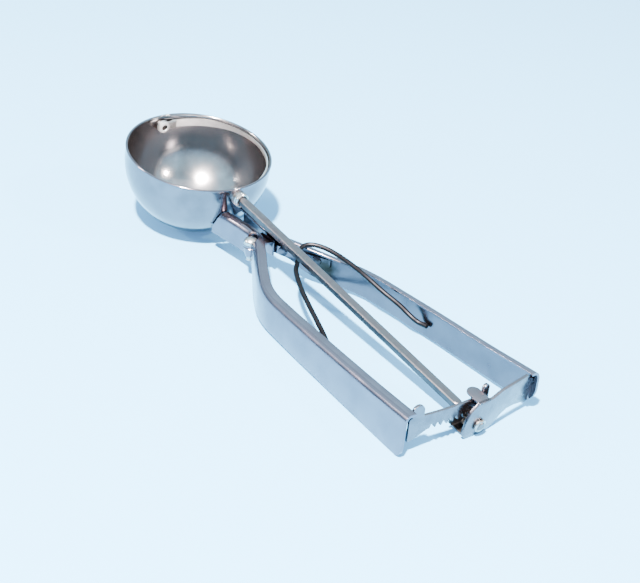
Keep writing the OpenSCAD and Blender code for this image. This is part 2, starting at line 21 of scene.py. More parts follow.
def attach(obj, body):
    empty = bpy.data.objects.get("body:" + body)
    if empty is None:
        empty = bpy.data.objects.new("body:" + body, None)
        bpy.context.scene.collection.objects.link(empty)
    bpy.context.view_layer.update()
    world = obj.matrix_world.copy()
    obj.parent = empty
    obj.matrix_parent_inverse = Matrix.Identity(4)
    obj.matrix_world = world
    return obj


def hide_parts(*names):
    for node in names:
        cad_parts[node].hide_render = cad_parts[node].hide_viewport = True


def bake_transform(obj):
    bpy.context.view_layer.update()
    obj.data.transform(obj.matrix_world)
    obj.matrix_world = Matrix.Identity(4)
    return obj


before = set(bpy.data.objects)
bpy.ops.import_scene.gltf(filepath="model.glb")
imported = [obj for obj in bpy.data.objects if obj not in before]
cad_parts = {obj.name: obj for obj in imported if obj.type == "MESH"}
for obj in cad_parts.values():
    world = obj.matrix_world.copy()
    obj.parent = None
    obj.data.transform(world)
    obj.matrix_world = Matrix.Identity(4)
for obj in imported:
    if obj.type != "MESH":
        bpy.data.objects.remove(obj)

Point = tuple[float, float, float]
Flat = tuple[float, float]
Outline = tuple[Flat, ...]
Colour = tuple[float, float, float, float]
logging.basicConfig(level=logging.INFO, format="%(message)s")
LOG = logging.getLogger("scoop")

MM = 0.001
BOWL_RADIUS = 30.2
TILT = math.radians(8.1)
ROW_SHIFT = Vector((-74.44, 0.97, 0.0))
PIVOT = Vector((49.2, -6.5, 0.0))
# Places: the work frame to the row frame, the rod's own frame, the pivot pin, and the turn
# that lays a shape's Z along X, its X sideways and its Y upwards.
TO_ROW = Matrix.Diagonal((MM, MM, MM, 1.0)) @ Matrix.Translation(ROW_SHIFT)
ON_ROD = Matrix.Translation((0.0, 0.0, BOWL_RADIUS)) @ Matrix.Rotation(TILT, 4, "Y")
ROW_TO_ROD = (TO_ROW @ ON_ROD).inverted()
ON_PIVOT = Matrix.Translation(PIVOT)
ENDWISE = Matrix(((0, 0, 1, 0), (1, 0, 0, 0), (0, 1, 0, 0), (0, 0, 0, 1)))
# Inputs of the node that maps one range to another.
RANGE = ("From Min", "From Max", "To Min", "To Max")
# Painted reflection of the rod on the fixed handle's web, as deep brown patches: centre in the row
# frame, radius and strength.
WEB_ROD_REFLECTION = (((-5.2, 16.8, 9.0), 7.0, 0.95), ((-3.4, 17.6, 8.6), 3.0, 1.0))


class Body(Enum):
    """The rigid bodies of the CAD model."""

    FRAME = "frame"
    HANDLE = "moving_handle"
    SCRAPER = "scraper"


def linear(code: str) -> Colour:
    """Turns an sRGB colour code into linear values.

    Args:
        code: Six hexadecimal digits, such as "a0b0c0".

    Returns:
        Red, green, blue and an alpha of one.
    """
    out = []
    for at in (0, 2, 4):
        c = int(code[at : at + 2], 16) / 255.0
        out.append(c / 12.92 if c <= 0.04045 else ((c + 0.055) / 1.055) ** 2.4)
    return (out[0], out[1], out[2], 1.0)


@dataclass(frozen=True)
class SteelFinish:
    """How a steel surface looks.

    Attributes:
        name: Name of the material.
        slot: Material slot of the record; not used.
        tone: Main colour.
        stain: Colour of the faint patches.
        rough: Lowest and highest roughness.
        patch_mm: Size of the patches.
        grain_mm: Size of the brushing marks along X, Y and Z. Real ones are a tenth as wide;
            these are drawn as coarse as they need to show.
        grain_depth: Strength of the brushing bump.
        wave_mm: Size of the slow waves of a pressed sheet.
        wave_depth: Strength of the waves.
        stain_share: How much of the surface the patches cover.
        marks: Centre in the row frame, in mm, radius and strength of each painted reflection.
        mark_tone: Colour of the painted reflections.
    """

    name: str
    slot: str
    tone: str
    stain: str
    rough: Flat
    patch_mm: float
    grain_mm: Point
    grain_depth: float
    wave_mm: float = 14.0
    wave_depth: float = 0.05
    stain_share: float = 0.35
    marks: tuple[tuple[Point, float, float], ...] = ()
    mark_tone: str = "2e2823"


class Finish(Enum):
    """Every finish on the scoop."""

    # Drawn and polished stainless sheet: wide soft reflections that follow slow waves.
    BOWL = SteelFinish(
        "polished_stainless_bowl", "bowl_steel", "7d7074", "6c6063", (0.08, 0.18), patch_mm=9.0,
        grain_mm=(1.2, 1.2, 1.2), grain_depth=0.03, wave_mm=16.0, wave_depth=0.2,
    )
    # The same sheet inside the bowl, with a paler tone painted in as light, and a little duller.
    BOWL_INSIDE_PAINTED_LIGHT = replace(
        BOWL, name="stainless_bowl_inside_painted_light", tone="8f8888", stain="767071",
        rough=(0.12, 0.2), patch_mm=8.0, grain_depth=0.04, wave_depth=0.3,
    )
    # Rolled stainless strip, not polished, with a pale tone painted in as the bright sheen along
    # the band.
    BLADE_PAINTED_SHEEN = SteelFinish(
        "stainless_blade_painted_sheen", "bowl_steel", "d6d3d0", "b8b4b1", (0.26, 0.38), patch_mm=5.0,
        grain_mm=(1.2, 1.2, 1.2), grain_depth=0.05, wave_mm=12.0, wave_depth=0.1,
    )
    # Folded and brushed stainless sheet: reflections drawn out across the lengthwise marks, and a
    # painted reflection of the rod on the fixed handle's web.
    HANDLE = SteelFinish(
        "brushed_stainless_handle", "handle_steel", "7b6e75", "6b6068", (0.14, 0.26),
        patch_mm=11.0, grain_mm=(9.0, 0.22, 0.22), grain_depth=0.05, wave_mm=12.0,
        wave_depth=0.16, marks=WEB_ROD_REFLECTION,
    )
    # The same sheet with a darker tone painted in as the shade on the inner side of the fixed
    # handle's web; the bracket rivets take it too.
    HANDLE_PAINTED_SHADE = replace(
        HANDLE, name="brushed_stainless_handle_painted_shade", tone="675c62", stain="564d54",
        rough=(0.16, 0.28),
    )
    # Turned steel: small bright rings with stained edges.
    BRIGHT = SteelFinish(
        "turned_stainless", "bright_steel", "b3b0ad", "7a7672", (0.2, 0.36), patch_mm=1.8,
        grain_mm=(0.5, 0.5, 0.5), grain_depth=0.1, wave_mm=3.0, wave_depth=0.12,
    )
    # Tumbled rivet metal: matt and nearly white.
    EYELET = replace(
        BRIGHT, name="tumbled_rivet_metal", tone="f1efec", stain="cfcac5", rough=(0.38, 0.52),
        grain_depth=0.05, wave_depth=0.08,
    )
    # Drawn stainless bar: satin, with marks along its length.
    ROD = SteelFinish(
        "drawn_stainless_rod", "rod_steel", "6c6464", "575052", (0.26, 0.4), patch_mm=4.0,
        grain_mm=(6.0, 0.3, 0.3), grain_depth=0.1, wave_mm=8.0, wave_depth=0.08,
        stain_share=0.4,
    )
    # The bar's left side, with a darker tone painted in as shade.
    ROD_SIDE_PAINTED_SHADE = replace(ROD, name="drawn_stainless_rod_side_painted_shade", tone="4c4647", stain="3c3738")
    # Stamped stainless sheet with marks across the scoop.
    HOUSING = SteelFinish(
        "stamped_stainless_housing", "housing_steel", "746a6e", "625a5e", (0.2, 0.34),
        patch_mm=5.0, grain_mm=(0.3, 2.5, 0.3), grain_depth=0.08,
    )
    # The housing's inside, dull, with a deep tone painted in as shade round the pinion.
    HOUSING_INSIDE_PAINTED_SHADE = SteelFinish(
        "housing_inside_painted_shade", "housing_steel", "4b4748", "37322f", (0.3, 0.45),
        patch_mm=3.0, grain_mm=(0.3, 2.5, 0.3), grain_depth=0.1,
    )
    # Cut gear steel with coarse tool marks, in a deep tone painted in as the shade round the pinion
    # and in the eyelet's hole.
    DARK_PAINTED_SHADE = SteelFinish(
        "cut_gear_steel_painted_shade", "dark_steel", "3d3a38", "24211f", (0.34, 0.5), patch_mm=2.0,
        grain_mm=(0.5, 0.5, 0.5), grain_depth=0.2,
    )
    # Tempered spring wire: nearly black, with a dull line of light.
    SPRING = SteelFinish(
        "tempered_spring_wire", "spring_steel", "1d1b1d", "121011", (0.4, 0.55), patch_mm=6.0,
        grain_mm=(2.0, 0.3, 0.3), grain_depth=0.1,
    )


def add_node(
    tree: NodeTree,
    kind: str,
    settings: Optional[dict[str | int, Any]] = None,
    links: Optional[dict[str | int, NodeSocket]] = None,
    **options: str,
) -> Node:
    """Adds a shader node with its settings and links.

    Args:
        tree: Node tree.
        kind: Type of the node, without its leading "ShaderNode".
        settings: Constant of each input.
        links: Output that feeds each input.
        options: Choices of the node itself, such as its operation.

    Returns:
        The node.
    """
    node = tree.nodes.new("ShaderNode" + kind)
    for name, choice in options.items():
        setattr(node, name, choice)
    for key, value in (settings or {}).items():
        node.inputs[key].default_value = value
    for key, source in (links or {}).items():
        tree.links.new(source, node.inputs[key])
    return node


def flecks(tree: NodeTree, size_mm: Point, detail: float, seed: Point) -> NodeSocket:
    """Lays an irregular pattern of a real size over a piece.

    Args:
        tree: Node tree.
        size_mm: Size of a fleck along X, Y and Z.
        detail: Levels of detail.
        seed: Offset of the pattern.

    Returns:
        The pattern, near 0.5 in most places.
    """
    place = {"Location": seed, "Scale": tuple(1.0 / (s * MM) for s in size_mm)}
    surface = add_node(tree, "TexCoord").outputs["Object"]
    placed = add_node(tree, "Mapping", place, {"Vector": surface}).outputs["Vector"]
    look = {"Scale": 1.0, "Detail": detail}
    return add_node(tree, "TexNoise", look, {"Vector": placed}).outputs["Fac"]


def paint_rod_reflection(
    tree: NodeTree, colour: NodeSocket, tone: Colour, centre: Point, radius: float, strength: float
) -> NodeSocket:
    """Darkens a colour about one place, with a ragged edge, to paint a reflection.

    Args:
        tree: Node tree.
        colour: The colour so far.
        tone: Colour of the painted reflection.
        centre: Middle of the patch in the row frame, in mm.
        radius: Its radius in mm.
        strength: Its strength in the middle.

    Returns:
        The darkened colour.
    """
    surface = add_node(tree, "TexCoord").outputs["Object"]
    middle = tuple(c * MM for c in centre)
    away = add_node(tree, "VectorMath", {1: middle}, {0: surface}, operation="DISTANCE")
    ragged = flecks(tree, (2.6, 2.6, 2.6), 4.0, centre)
    reach = add_node(
        tree, "Math", {1: radius * 1.2 * MM}, {0: ragged, 2: away.outputs["Value"]},
        operation="MULTIPLY_ADD",
    )
    fade = dict(zip(RANGE, (radius * 0.9 * MM, radius * 1.7 * MM, strength, 0.0)))
    share = add_node(tree, "MapRange", fade, {"Value": reach.outputs["Value"]})
    both = {"A": colour, "Factor": share.outputs["Result"]}
    return add_node(tree, "Mix", {"B": tone}, both, data_type="RGBA").outputs["Result"]


@cache
def make_steel(finish: SteelFinish) -> Material:
    """Builds a procedural steel material, once for each finish.

    Args:
        finish: What the steel looks like.

    Returns:
        The material.
    """
    mat = bpy.data.materials.new(finish.name)
    mat.use_nodes = True
    tree = mat.node_tree
    shader = tree.nodes["Principled BSDF"]
    shader.inputs["Metallic"].default_value = 1.0
    patch = flecks(tree, (finish.patch_mm,) * 3, 5.0, (3.1, 7.7, 1.3))
    wave = flecks(tree, (finish.wave_mm,) * 3, 1.0, (0.4, 2.9, 5.2))
    grain = flecks(tree, finish.grain_mm, 3.0, (8.8, 0.6, 4.1))
    # A larger share lets the patches begin at a lower level of the pattern.
    level = 0.5 + 0.2 * (0.5 - finish.stain_share)
    edge = dict(zip(RANGE, (level - 0.14, level + 0.2, 0.0, 1.0)))
    cover = add_node(tree, "MapRange", edge, {"Value": patch}).outputs["Result"]
    tones = {"A": linear(finish.tone), "B": linear(finish.stain)}
    colour = add_node(tree, "Mix", tones, {"Factor": cover}, data_type="RGBA").outputs["Result"]
    # Painted reflection of the rod: deep brown patches that darken the colour.
    for centre, radius, strength in finish.marks:
        colour = paint_rod_reflection(tree, colour, linear(finish.mark_tone), centre, radius, strength)
    worn = dict(zip(RANGE, (0.3, 0.7, *finish.rough)))
    rough = add_node(tree, "MapRange", worn, {"Value": patch}).outputs["Result"]
    slow = {"Strength": finish.wave_depth, "Distance": 1.0 * MM}
    normal = add_node(tree, "Bump", slow, {"Height": wave}).outputs["Normal"]
    fine = {"Strength": finish.grain_depth, "Distance": 0.1 * MM}
    normal = add_node(tree, "Bump", fine, {"Height": grain, "Normal": normal}).outputs["Normal"]
    for name, source in (("Base Color", colour), ("Roughness", rough), ("Normal", normal)):
        tree.links.new(source, shader.inputs[name])
    return mat


# Curves


def smooth(points: Sequence[Sequence[float]], steps: int) -> list[Vector]:
    """Smooth curve through points of any dimension.

    Args:
        points: The points.
        steps: Steps between two points.

    Returns:
        Points on the curve.
    """
    p = [Vector(q) for q in (points[0], *points, points[-1])]
    out = []
    for a, b, c, d in zip(p, p[1:], p[2:], p[3:]):
        for t in (j / steps for j in range(steps)):
            square, cube = 2 * a - 5 * b + 4 * c - d, 3 * b - a - 3 * c + d
            out.append(0.5 * (2 * b + (c - a) * t + square * t * t + cube * t**3))
    return out + [p[-1]]


def between(table: Sequence[Flat], x: float) -> float:
    """Value of a table at a place, along straight lines between its rows.

    Args:
        table: Place and value of each row, in order.
        x: The place.

    Returns:
        The value.
    """
    for (x0, v0), (x1, v1) in zip(table, table[1:]):
        if x <= x1:
            return v0 + (v1 - v0) * max(0.0, (x - x0) / (x1 - x0))
    return table[-1][1]


def arc(cx: float, cy: float, r: float, a0: float, a1: float, n: int) -> list[Flat]:
    """Points on a circular arc.

    Args:
        cx: Centre, first axis.
        cy: Centre, second axis.
        r: Radius.
        a0: Start angle in degrees.
        a1: End angle in degrees.
        n: Number of steps.

    Returns:
        The points.
    """
    turns = [math.radians(a0 + (a1 - a0) * i / n) for i in range(n + 1)]
    return [(cx + r * math.cos(a), cy + r * math.sin(a)) for a in turns]


# Meshes


def solid(bm: BMesh, name: str) -> Object:
    """Makes a scratch object in the work frame.

    Args:
        bm: Mesh that is used and freed.
        name: Name of the object.

    Returns:
        The object.
    """
    bmesh.ops.recalc_face_normals(bm, faces=bm.faces)
    mesh = bpy.data.meshes.new(name)
    bm.to_mesh(mesh)
    bm.free()
    obj = bpy.data.objects.new(name, mesh)
    bpy.context.scene.collection.objects.link(obj)
    return obj


def soften(bm: BMesh, width: float, steps: int = 2) -> None:
    """Rounds the edges that are sharper than 35 degrees.

    Args:
        bm: Mesh to change.
        width: Width of the rounding.
        steps: Segments across it.
    """
    limit = math.radians(35.0)
    sharp = [e for e in bm.edges if len(e.link_faces) == 2 and e.calc_face_angle(0.0) > limit]
    bmesh.ops.bevel(
        bm, geom=sharp, offset=width, offset_type="OFFSET", segments=steps, profile=0.5,
        affect="EDGES", clamp_overlap=True, material=-1,
    )


def skin(rings: Sequence[Sequence[Vector]], name: str, edge: float = 0.0) -> Object:
    """Skins closed rings that follow each other and closes the ends.

    Args:
        rings: Rings with the same number of points.
        name: Name of the scratch object.
        edge: Width of the rounding.

    Returns:
        The scratch object.
    """
    bm = bmesh.new()
    rows = [[bm.verts.new(p) for p in ring] for ring in rings]
    for a, b in zip(rows, rows[1:]):
        for j in range(len(a)):
            k = (j + 1) % len(a)
            bm.faces.new((a[j], a[k], b[k], b[j]))
    bm.faces.new(list(reversed(rows[0])))
    bm.faces.new(rows[-1])
    if edge:
        soften(bm, edge)
    return solid(bm, name)


def add_plate(bm: BMesh, outline: Sequence[Flat], low: float, high: float, place: Matrix) -> None:
    """Adds a flat plate cut to an outline.

    Args:
        bm: Mesh to add to.
        outline: Outline in the plate's plane.
        low: Lower face.
        high: Upper face.
        place: Where the plate goes.
    """
    part = bmesh.new()
    face = part.faces.new([part.verts.new((x, y, low)) for x, y in outline])
    made = bmesh.ops.extrude_face_region(part, geom=[face])
    tops = [g for g in made["geom"] if isinstance(g, BMVert)]
    bmesh.ops.translate(part, verts=tops, vec=(0.0, 0.0, high - low))
    bmesh.ops.transform(part, matrix=place, verts=part.verts)
    bmesh.ops.recalc_face_normals(part, faces=part.faces)
    mesh = bpy.data.meshes.new("part")
    part.to_mesh(mesh)
    part.free()
    bm.from_mesh(mesh)
    bpy.data.meshes.remove(mesh)


def plate(
    outline: Sequence[Flat], low: float, high: float, place: Matrix, name: str,
    edge: float = 0.0, steps: int = 3,
) -> Object:
    """A flat plate cut to an outline.

    Args:
        outline: Outline in the plate's plane.
        low: Lower face.
        high: Upper face.
        place: Where the plate goes.
        name: Name of the scratch object.
        edge: Width of the rounding.
        steps: Segments across the rounding.

    Returns:
        The scratch object.
    """
    bm = bmesh.new()
    add_plate(bm, outline, low, high, place)
    if edge:
        soften(bm, edge, steps)
    return solid(bm, name)


def turned(
    profile: Sequence[Flat], place: Matrix, name: str, sides: int = 64, closed: bool = False
) -> Object:
    """A turned shape.

    Args:
        profile: Radius and height of each point.
        place: Where the shape goes; it turns about its own Z.
        name: Name of the scratch object.
        sides: Segments round the axis.
        closed: Whether the profile is a closed loop clear of the axis.

    Returns:
        The scratch object.
    """
    bm = bmesh.new()
    verts = [bm.verts.new((r, 0.0, z)) for r, z in profile]
    pairs = list(zip(verts, verts[1:])) + ([(verts[-1], verts[0])] if closed else [])
    edges = [bm.edges.new(pair) for pair in pairs]
    bmesh.ops.spin(
        bm, geom=verts + edges, cent=(0, 0, 0), axis=(0, 0, 1), angle=math.tau, steps=sides,
        use_merge=True,
    )
    bmesh.ops.remove_doubles(bm, verts=bm.verts, dist=1e-5)
    bmesh.ops.transform(bm, matrix=place, verts=bm.verts)
    return solid(bm, name)


def bore(radius: float, start: float, end: float, place: Matrix) -> Object:
    """Round cutter that runs along the Z of its place."""
    return turned([(0, start), (radius, start), (radius, end), (0, end)], place, "bore")


def bowl_space(gap: float) -> Object:
    """Cutter that keeps a piece clear of the bowl.

    Args:
        gap: Clearance round the bowl.

    Returns:
        The scratch object.
    """
    bm = bmesh.new()
    bmesh.ops.create_uvsphere(bm, u_segments=160, v_segments=96, radius=BOWL_RADIUS + gap)
    bmesh.ops.translate(bm, verts=bm.verts, vec=(0, 0, BOWL_RADIUS))
    return solid(bm, "bowl_space")


def rear_corner(x: float, y0: float, y1: float, r: float, z: float = 0.0) -> Object:
    """Cutter that rounds the lower rear corner of a handle.

    Args:
        x: Rear end of the handle.
        y0: Start of the cutter.
        y1: End of the cutter.
        r: Radius of the corner.
        z: Height of the lower edge.

    Returns:
        The scratch object.
    """
    over = 2.0
    outside = [(x + over, z + r), (x + over, z - over), (x - r, z - over)]
    outline = arc(x - r, z + r, r, -90.0, 0.0, 12) + outside
    place = Matrix.Translation((0, y1, 0)) @ Matrix.Rotation(math.pi / 2, 4, "X")
    return plate(outline, 0.0, y1 - y0, place, "corner")


def trim(obj: Object, cutters: Sequence[Object], edge: float = 0.0) -> None:
    """Cuts shapes out of a scratch object and rounds the new edges.

    Args:
        obj: Object to cut.
        cutters: Shapes to take away; they are removed.
        edge: Width of the rounding.
    """
    for cutter in cutters:
        step = obj.modifiers.new("cut", "BOOLEAN")
        step.operation = "DIFFERENCE"
        step.solver = "EXACT"
        step.object = cutter
    if edge:
        rounding = obj.modifiers.new("edge", "BEVEL")
        rounding.width = edge
        rounding.segments = 2
        rounding.limit_method = "ANGLE"
        rounding.angle_limit = math.radians(42)
    graph = bpy.context.evaluated_depsgraph_get()
    mesh = bpy.data.meshes.new_from_object(obj.evaluated_get(graph))
    obj.modifiers.clear()
    obj.data = mesh
    for cutter in cutters:
        bpy.data.objects.remove(cutter)


def join(parts: Sequence[Object], name: str) -> Object:
    """Puts scratch objects into one mesh.

    Args:
        parts: The scratch objects; they are removed.
        name: Name of the new object.

    Returns:
        The scratch object.
    """
    bm = bmesh.new()
    for part in parts:
        bm.from_mesh(part.data)
        bpy.data.objects.remove(part)
    return solid(bm, name)


@dataclass
class Sculpt:
    """Turns scratch objects into finished pieces.

    Attributes:
        made: Names of the finished pieces.
    """

    made: list[str] = field(default_factory=list)

    def finish(
        self,
        obj: Object,
        finish: Finish,
        body: Body,
        node: str,
        angle: float = 28.0,
        inside: Optional[Finish] = None,
        is_inside: Optional[Callable[[MeshPolygon], bool]] = None,
        bend: Optional[tuple[Body, Point, Point]] = None,
    ) -> None:
        """Moves a scratch object to the row frame and shades it; without a bend it ties it to its
        body.

        Args:
            obj: Scratch object in the work frame.
            finish: Its finish.
            body: The body that it rides on.
            node: CAD node that it stands for.
            angle: Edges sharper than this stay sharp, in degrees.
            inside: Finish of the inner faces, which carries painted light or shade.
            is_inside: Tells whether a face of the row frame's mesh takes that finish.
            bend: Second body of a piece that bends, and where the bend starts and ends; if given,
                the piece is tied to no body and these values are not used.
        """
        mesh = obj.data
        mesh.transform(TO_ROW)
        mesh.polygons.foreach_set("use_smooth", [True] * len(mesh.polygons))
        mesh.set_sharp_from_angle(angle=math.radians(angle))
        mesh.update()
        mesh.materials.clear()
        mesh.materials.append(make_steel(finish.value))
        if inside and is_inside:
            mesh.materials.append(make_steel(inside.value))
            for face in mesh.polygons:
                face.material_index = int(is_inside(face))
        if bend:
            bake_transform(obj)
        else:
            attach(obj, body.value)
        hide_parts(node)
        self.made.append(obj.name)
        LOG.info("%s: %d faces, rides on %s", obj.name, len(mesh.polygons), body.value)


def along_rod(u: float = 0.0) -> Matrix:
    """Place u behind the bowl's centre, with its Z along the rod and its Y away from the table."""
    return ON_ROD @ Matrix.Translation((u, 0.0, 0.0)) @ ENDWISE


# The scoop


@dataclass
class BowlAssembly:
    """The bowl, its front eyelet and the collar that the rod runs in.

    The rim is a height above the bowl's centre; starts, ends and the eyelet's face and back
    are distances along the rod.
    """

    wall: float = 0.8
    rim: float = 3.8
    bead: float = 0.5
    bead_reach: float = 0.15
    collar_start: float = 28.6
    collar_end: float = 33.4
    collar_radius: float = 3.1
    bore: float = 1.95
    groove: float = 0.25
    eyelet_face: float = -26.4
    eyelet_back: float = -30.22
    shank: float = 1.25
    hole: float = 1.4

    def bowl(self) -> Object:
        """Half-round bowl with a rolled bead.

        Returns:
            The scratch object.
        """
        r, t = BOWL_RADIUS, self.wall
        outer, inner = arc(0, 0, r, -90, 0, 44), arc(0, 0, r - t, 0, -90, 44)
        outer[0], inner[-1] = (0.0, -r), (0.0, t - r)
        bead = arc(r - self.bead + self.bead_reach, self.rim, self.bead, -50, 230, 14)
        up = (1.0, 2.2, self.rim - 0.75)
        profile = outer + [(r, z) for z in up] + bead + [(r - t, z) for z in reversed(up)] + inner
        obj = turned(profile, ON_ROD, "Bowl", 192)
        rear = bore(self.collar_radius, -3, 3, along_rod(r))
        trim(obj, [rear, bore(self.shank, -3, 3, along_rod(-r))])
        return obj

    def collar(self) -> Object:
        """Bearing collar with rounded lips and a groove.

        Returns:
            The scratch object.
        """
        r, b, deep = self.collar_radius, self.bore, self.collar_radius - self.groove
        a, e = self.collar_start, self.collar_end
        profile = [(b, a + 0.2), (b + 0.2, a), (r, a), (r, e - 1.5), (deep, e - 1.3)]
        profile += [(deep, e - 0.9), (r, e - 0.7), (r, e - 0.35), (r - 0.35, e), (b + 0.3, e)]
        return turned(profile + [(b, e - 0.3)], along_rod(), "Rod_Collar", closed=True)

    def eyelet(self) -> Object:
        """Tubular rivet at the front of the bowl.

        Returns:
            The scratch object.
        """
        a, e, s = self.eyelet_face, self.eyelet_back, self.shank
        profile = [(0.0, a - 0.5), (1.2, a - 0.5), (1.3, a), (1.42, a + 0.12), (1.95, a + 0.12)]
        profile += [(2.5, a - 0.15), (2.45, a - 0.6), (s, a - 0.6), (s, e), (1.8, e)]
        profile += [(1.72, -30.6), (1.2, -30.8), (0.0, -30.8)]
        return turned(profile, along_rod(), "Front_Eyelet", 48)

    def looks_in(self, face: MeshPolygon) -> bool:
        """Tells whether a face of the bowl looks at its centre."""
        inward = TO_ROW @ Vector((0.0, 0.0, BOWL_RADIUS)) - face.center
        return inward.normalized().dot(face.normal) > 0.5

    def in_hole(self, face: MeshPolygon) -> bool:
        """Tells whether a face lies in the eyelet's hole."""
        at = ROW_TO_ROD @ face.center
        return abs(at.x - self.eyelet_face + 0.25) < 0.28 and math.hypot(*at.yz) < self.hole

    def build(self, sculpt: Sculpt) -> None:
        """Makes every piece.

        Args:
            sculpt: Finishes the pieces.
        """
        # The bowl's inner faces get a paler tone painted in as light.
        inside = (40.0, Finish.BOWL_INSIDE_PAINTED_LIGHT, self.looks_in)
        sculpt.finish(self.bowl(), Finish.BOWL, Body.FRAME, "bowl", *inside)
        sculpt.finish(self.collar(), Finish.BRIGHT, Body.FRAME, "rod_bearing_collar")
        # The eyelet's hole gets a deep tone painted in as shade.
        painted_shade = {"inside": Finish.DARK_PAINTED_SHADE, "is_inside": self.in_hole}
        sculpt.finish(self.eyelet(), Finish.EYELET, Body.FRAME, "front_pivot_rivet", **painted_shade)


@dataclass
class ScraperAssembly:
    """The blade, the rod, the pinion and the rod's rear head.

    The blade's edges are heights above the rod's axis at an angle round the bowl.
    """

    outer: float = 29.0
    sheet: float = 0.5
    lower_edge: Outline = (
        (9, -1.8), (40, 0.4), (60, 1.2), (90, 1.5), (105, 1.3), (120, 0.8), (135, 0.0),
        (150, -0.8), (171, -1.8),
    )
    upper_edge: Outline = ((9, 1.8), (40, 3.0), (140, 3.0), (171, 1.8))
    steps: int = 108
    eye_at: float = 27.3
    eye_sheet: float = 1.0
    eye_radius: float = 2.7
    eye_lug: Outline = ((6.1, -1.8), (6.3, -1.4), (6.3, 1.4), (6.1, 1.8))
    front_hole: float = 1.3
    journal: float = 1.9
    bar_width: float = 3.7
    bar_height: float = 2.7
    bar_flatness: float = 0.18
    corner_start: float = 1.78
    corner_cut: float = 0.42
    bar: tuple[float, ...] = (36.6, 45.0, 60.0, 80.0, 100.0, 120.0, 140.0, 167.4)
    tail: float = 1.6
    teeth: int = 8
    root: float = 2.28
    pitch: float = 3.1
    tip: float = 3.8
    pinion_start: float = 174.4
    pinion_end: float = 177.8
    head_start: float = 179.9
    head_radius: float = 2.5
    slot_half: float = 0.5

    def blade(self) -> Object:
        """Curved scraper blade with an eye at each end.

        Returns:
            The scratch object.
        """
        first, last = self.lower_edge[0][0], self.lower_edge[-1][0]
        rings = []
        for i in range(self.steps + 1):
            a = first + (last - first) * i / self.steps
            w0, w1 = between(self.lower_edge, a), between(self.upper_edge, a)
            heights = [w0 + (w1 - w0) * k / 6 for k in range(7)]
            ring = []
            for w, depth in [(w, 0.0) for w in heights] + [(w, self.sheet) for w in heights[::-1]]:
                r = math.sqrt(self.outer**2 - w * w) - depth
                x, y = r * math.cos(math.radians(a)), r * math.sin(math.radians(a))
                ring.append(ON_ROD @ Vector((x, y, w)))
            rings.append(ring)
        parts = [skin(rings, "band")]
        outline = arc(0, 0, self.eye_radius, 35, 325, 40) + list(self.eye_lug)
        front = -self.eye_at - self.eye_sheet
        for low, hole in ((self.eye_at, self.journal), (front, self.front_hole)):
            eye = plate(outline, 0.0, self.eye_sheet, along_rod(low), "eye")
            trim(eye, [bore(hole, -1, 2, along_rod(low))], 0.08)
            parts.append(eye)
        return join(parts, "Scraper_Blade")

    def bar_ring(self, u: float, square: float, radius: float) -> list[Vector]:
        """Outline of the rod at one place.

        Args:
            u: Distance along the rod.
            square: 0 for round and 1 for a flat bar with cut corners.
            radius: Radius where it is round.

        Returns:
            The ring in the work frame.
        """
        half_y, half_w = self.bar_width / 2, self.bar_height / 2
        ring = []
        for k in range(48):
            a = math.radians(360.0 * k / 48)
            c, s = math.cos(a), math.sin(a)
            x = half_y * math.copysign(abs(c) ** self.bar_flatness, c)
            y = half_w * math.copysign(abs(s) ** self.bar_flatness, s)
            over = max(0.0, abs(x) / half_y + abs(y) / half_w - self.corner_start)
            box = Vector((x, y)) * (1 - self.corner_cut * over)
            p = Vector((radius * c, radius * s)).lerp(box, square)
            ring.append(ON_ROD @ Vector((u, p.x, p.y)))
        return ring

    def rod(self) -> Object:
        """Flat bar rod with round ends.

        Returns:
            The scratch object.
        """
        j, t = self.journal, self.tail
        stations = [(27.32, 0.0, j - 0.15), (27.5, 0.0, j), (34.2, 0.0, j), (34.8, 0.35, j)]
        stations += [(35.6, 0.8, j)] + [(u, 1.0, j) for u in self.bar]
        stations += [(168.3, 0.75, t), (169.0, 0.0, t), (180.9, 0.0, t), (181.18, 0.0, t - 0.25)]
        return skin([self.bar_ring(*station) for station in stations], "Scraper_Rod")

    def pinion(self) -> Object:
        """Small gear on the rod.

        Returns:
            The scratch object.
        """
        rise = [(self.root, -0.59), (self.pitch, -0.44), (self.tip, -0.26)]
        tooth = rise + [(r, -w) for r, w in reversed(rise)]
        outline = []
        for k in range(self.teeth):
            for r, w in tooth:
                a = (k + 0.5) * math.tau / self.teeth + math.atan2(w, r)
                outline.append((r * math.sin(a), r * math.cos(a)))
        return plate(outline, self.pinion_start, self.pinion_end, along_rod(), "Pinion", 0.1, 2)

    def head(self) -> Object:
        """Peened collar that keeps the rod in the housing.

        Returns:
            The scratch object.
        """
        t, r, a, half = self.tail, self.head_radius, self.head_start, self.slot_half
        profile = [(t, a), (r - 0.1, a), (r, a + 0.12), (r, a + 0.7), (r - 0.2, a + 0.95)]
        profile += [(t + 0.2, a + 1.0), (t, a + 1.0)]
        obj = turned(profile, along_rod(), "Rod_Head", 40, closed=True)
        slot = [(-half, 2.0), (half, 2.0), (half, 4.0), (-half, 4.0)]
        trim(obj, [plate(slot, 178.0, 184.0, along_rod(), "slot")], 0.08)
        return obj

    def on_side(self, face: MeshPolygon) -> bool:
        """Tells whether a face of the rod looks to the left."""
        return face.normal.y < -0.75

    def build(self, sculpt: Sculpt) -> None:
        """Makes every piece.

        Args:
            sculpt: Finishes the pieces.
        """
        # The blade's pale tone is a painted sheen.
        sculpt.finish(self.blade(), Finish.BLADE_PAINTED_SHEEN, Body.SCRAPER, "scraper_blade")
        # The rod's left side gets a darker tone painted in as shade.
        side = {"inside": Finish.ROD_SIDE_PAINTED_SHADE, "is_inside": self.on_side}
        sculpt.finish(self.rod(), Finish.ROD, Body.SCRAPER, "scraper_rod", **side)
        # The pinion's deep tone is painted shade.
        sculpt.finish(self.pinion(), Finish.DARK_PAINTED_SHADE, Body.SCRAPER, "pinion")
        sculpt.finish(self.head(), Finish.BRIGHT, Body.SCRAPER, "rod_end_cap")


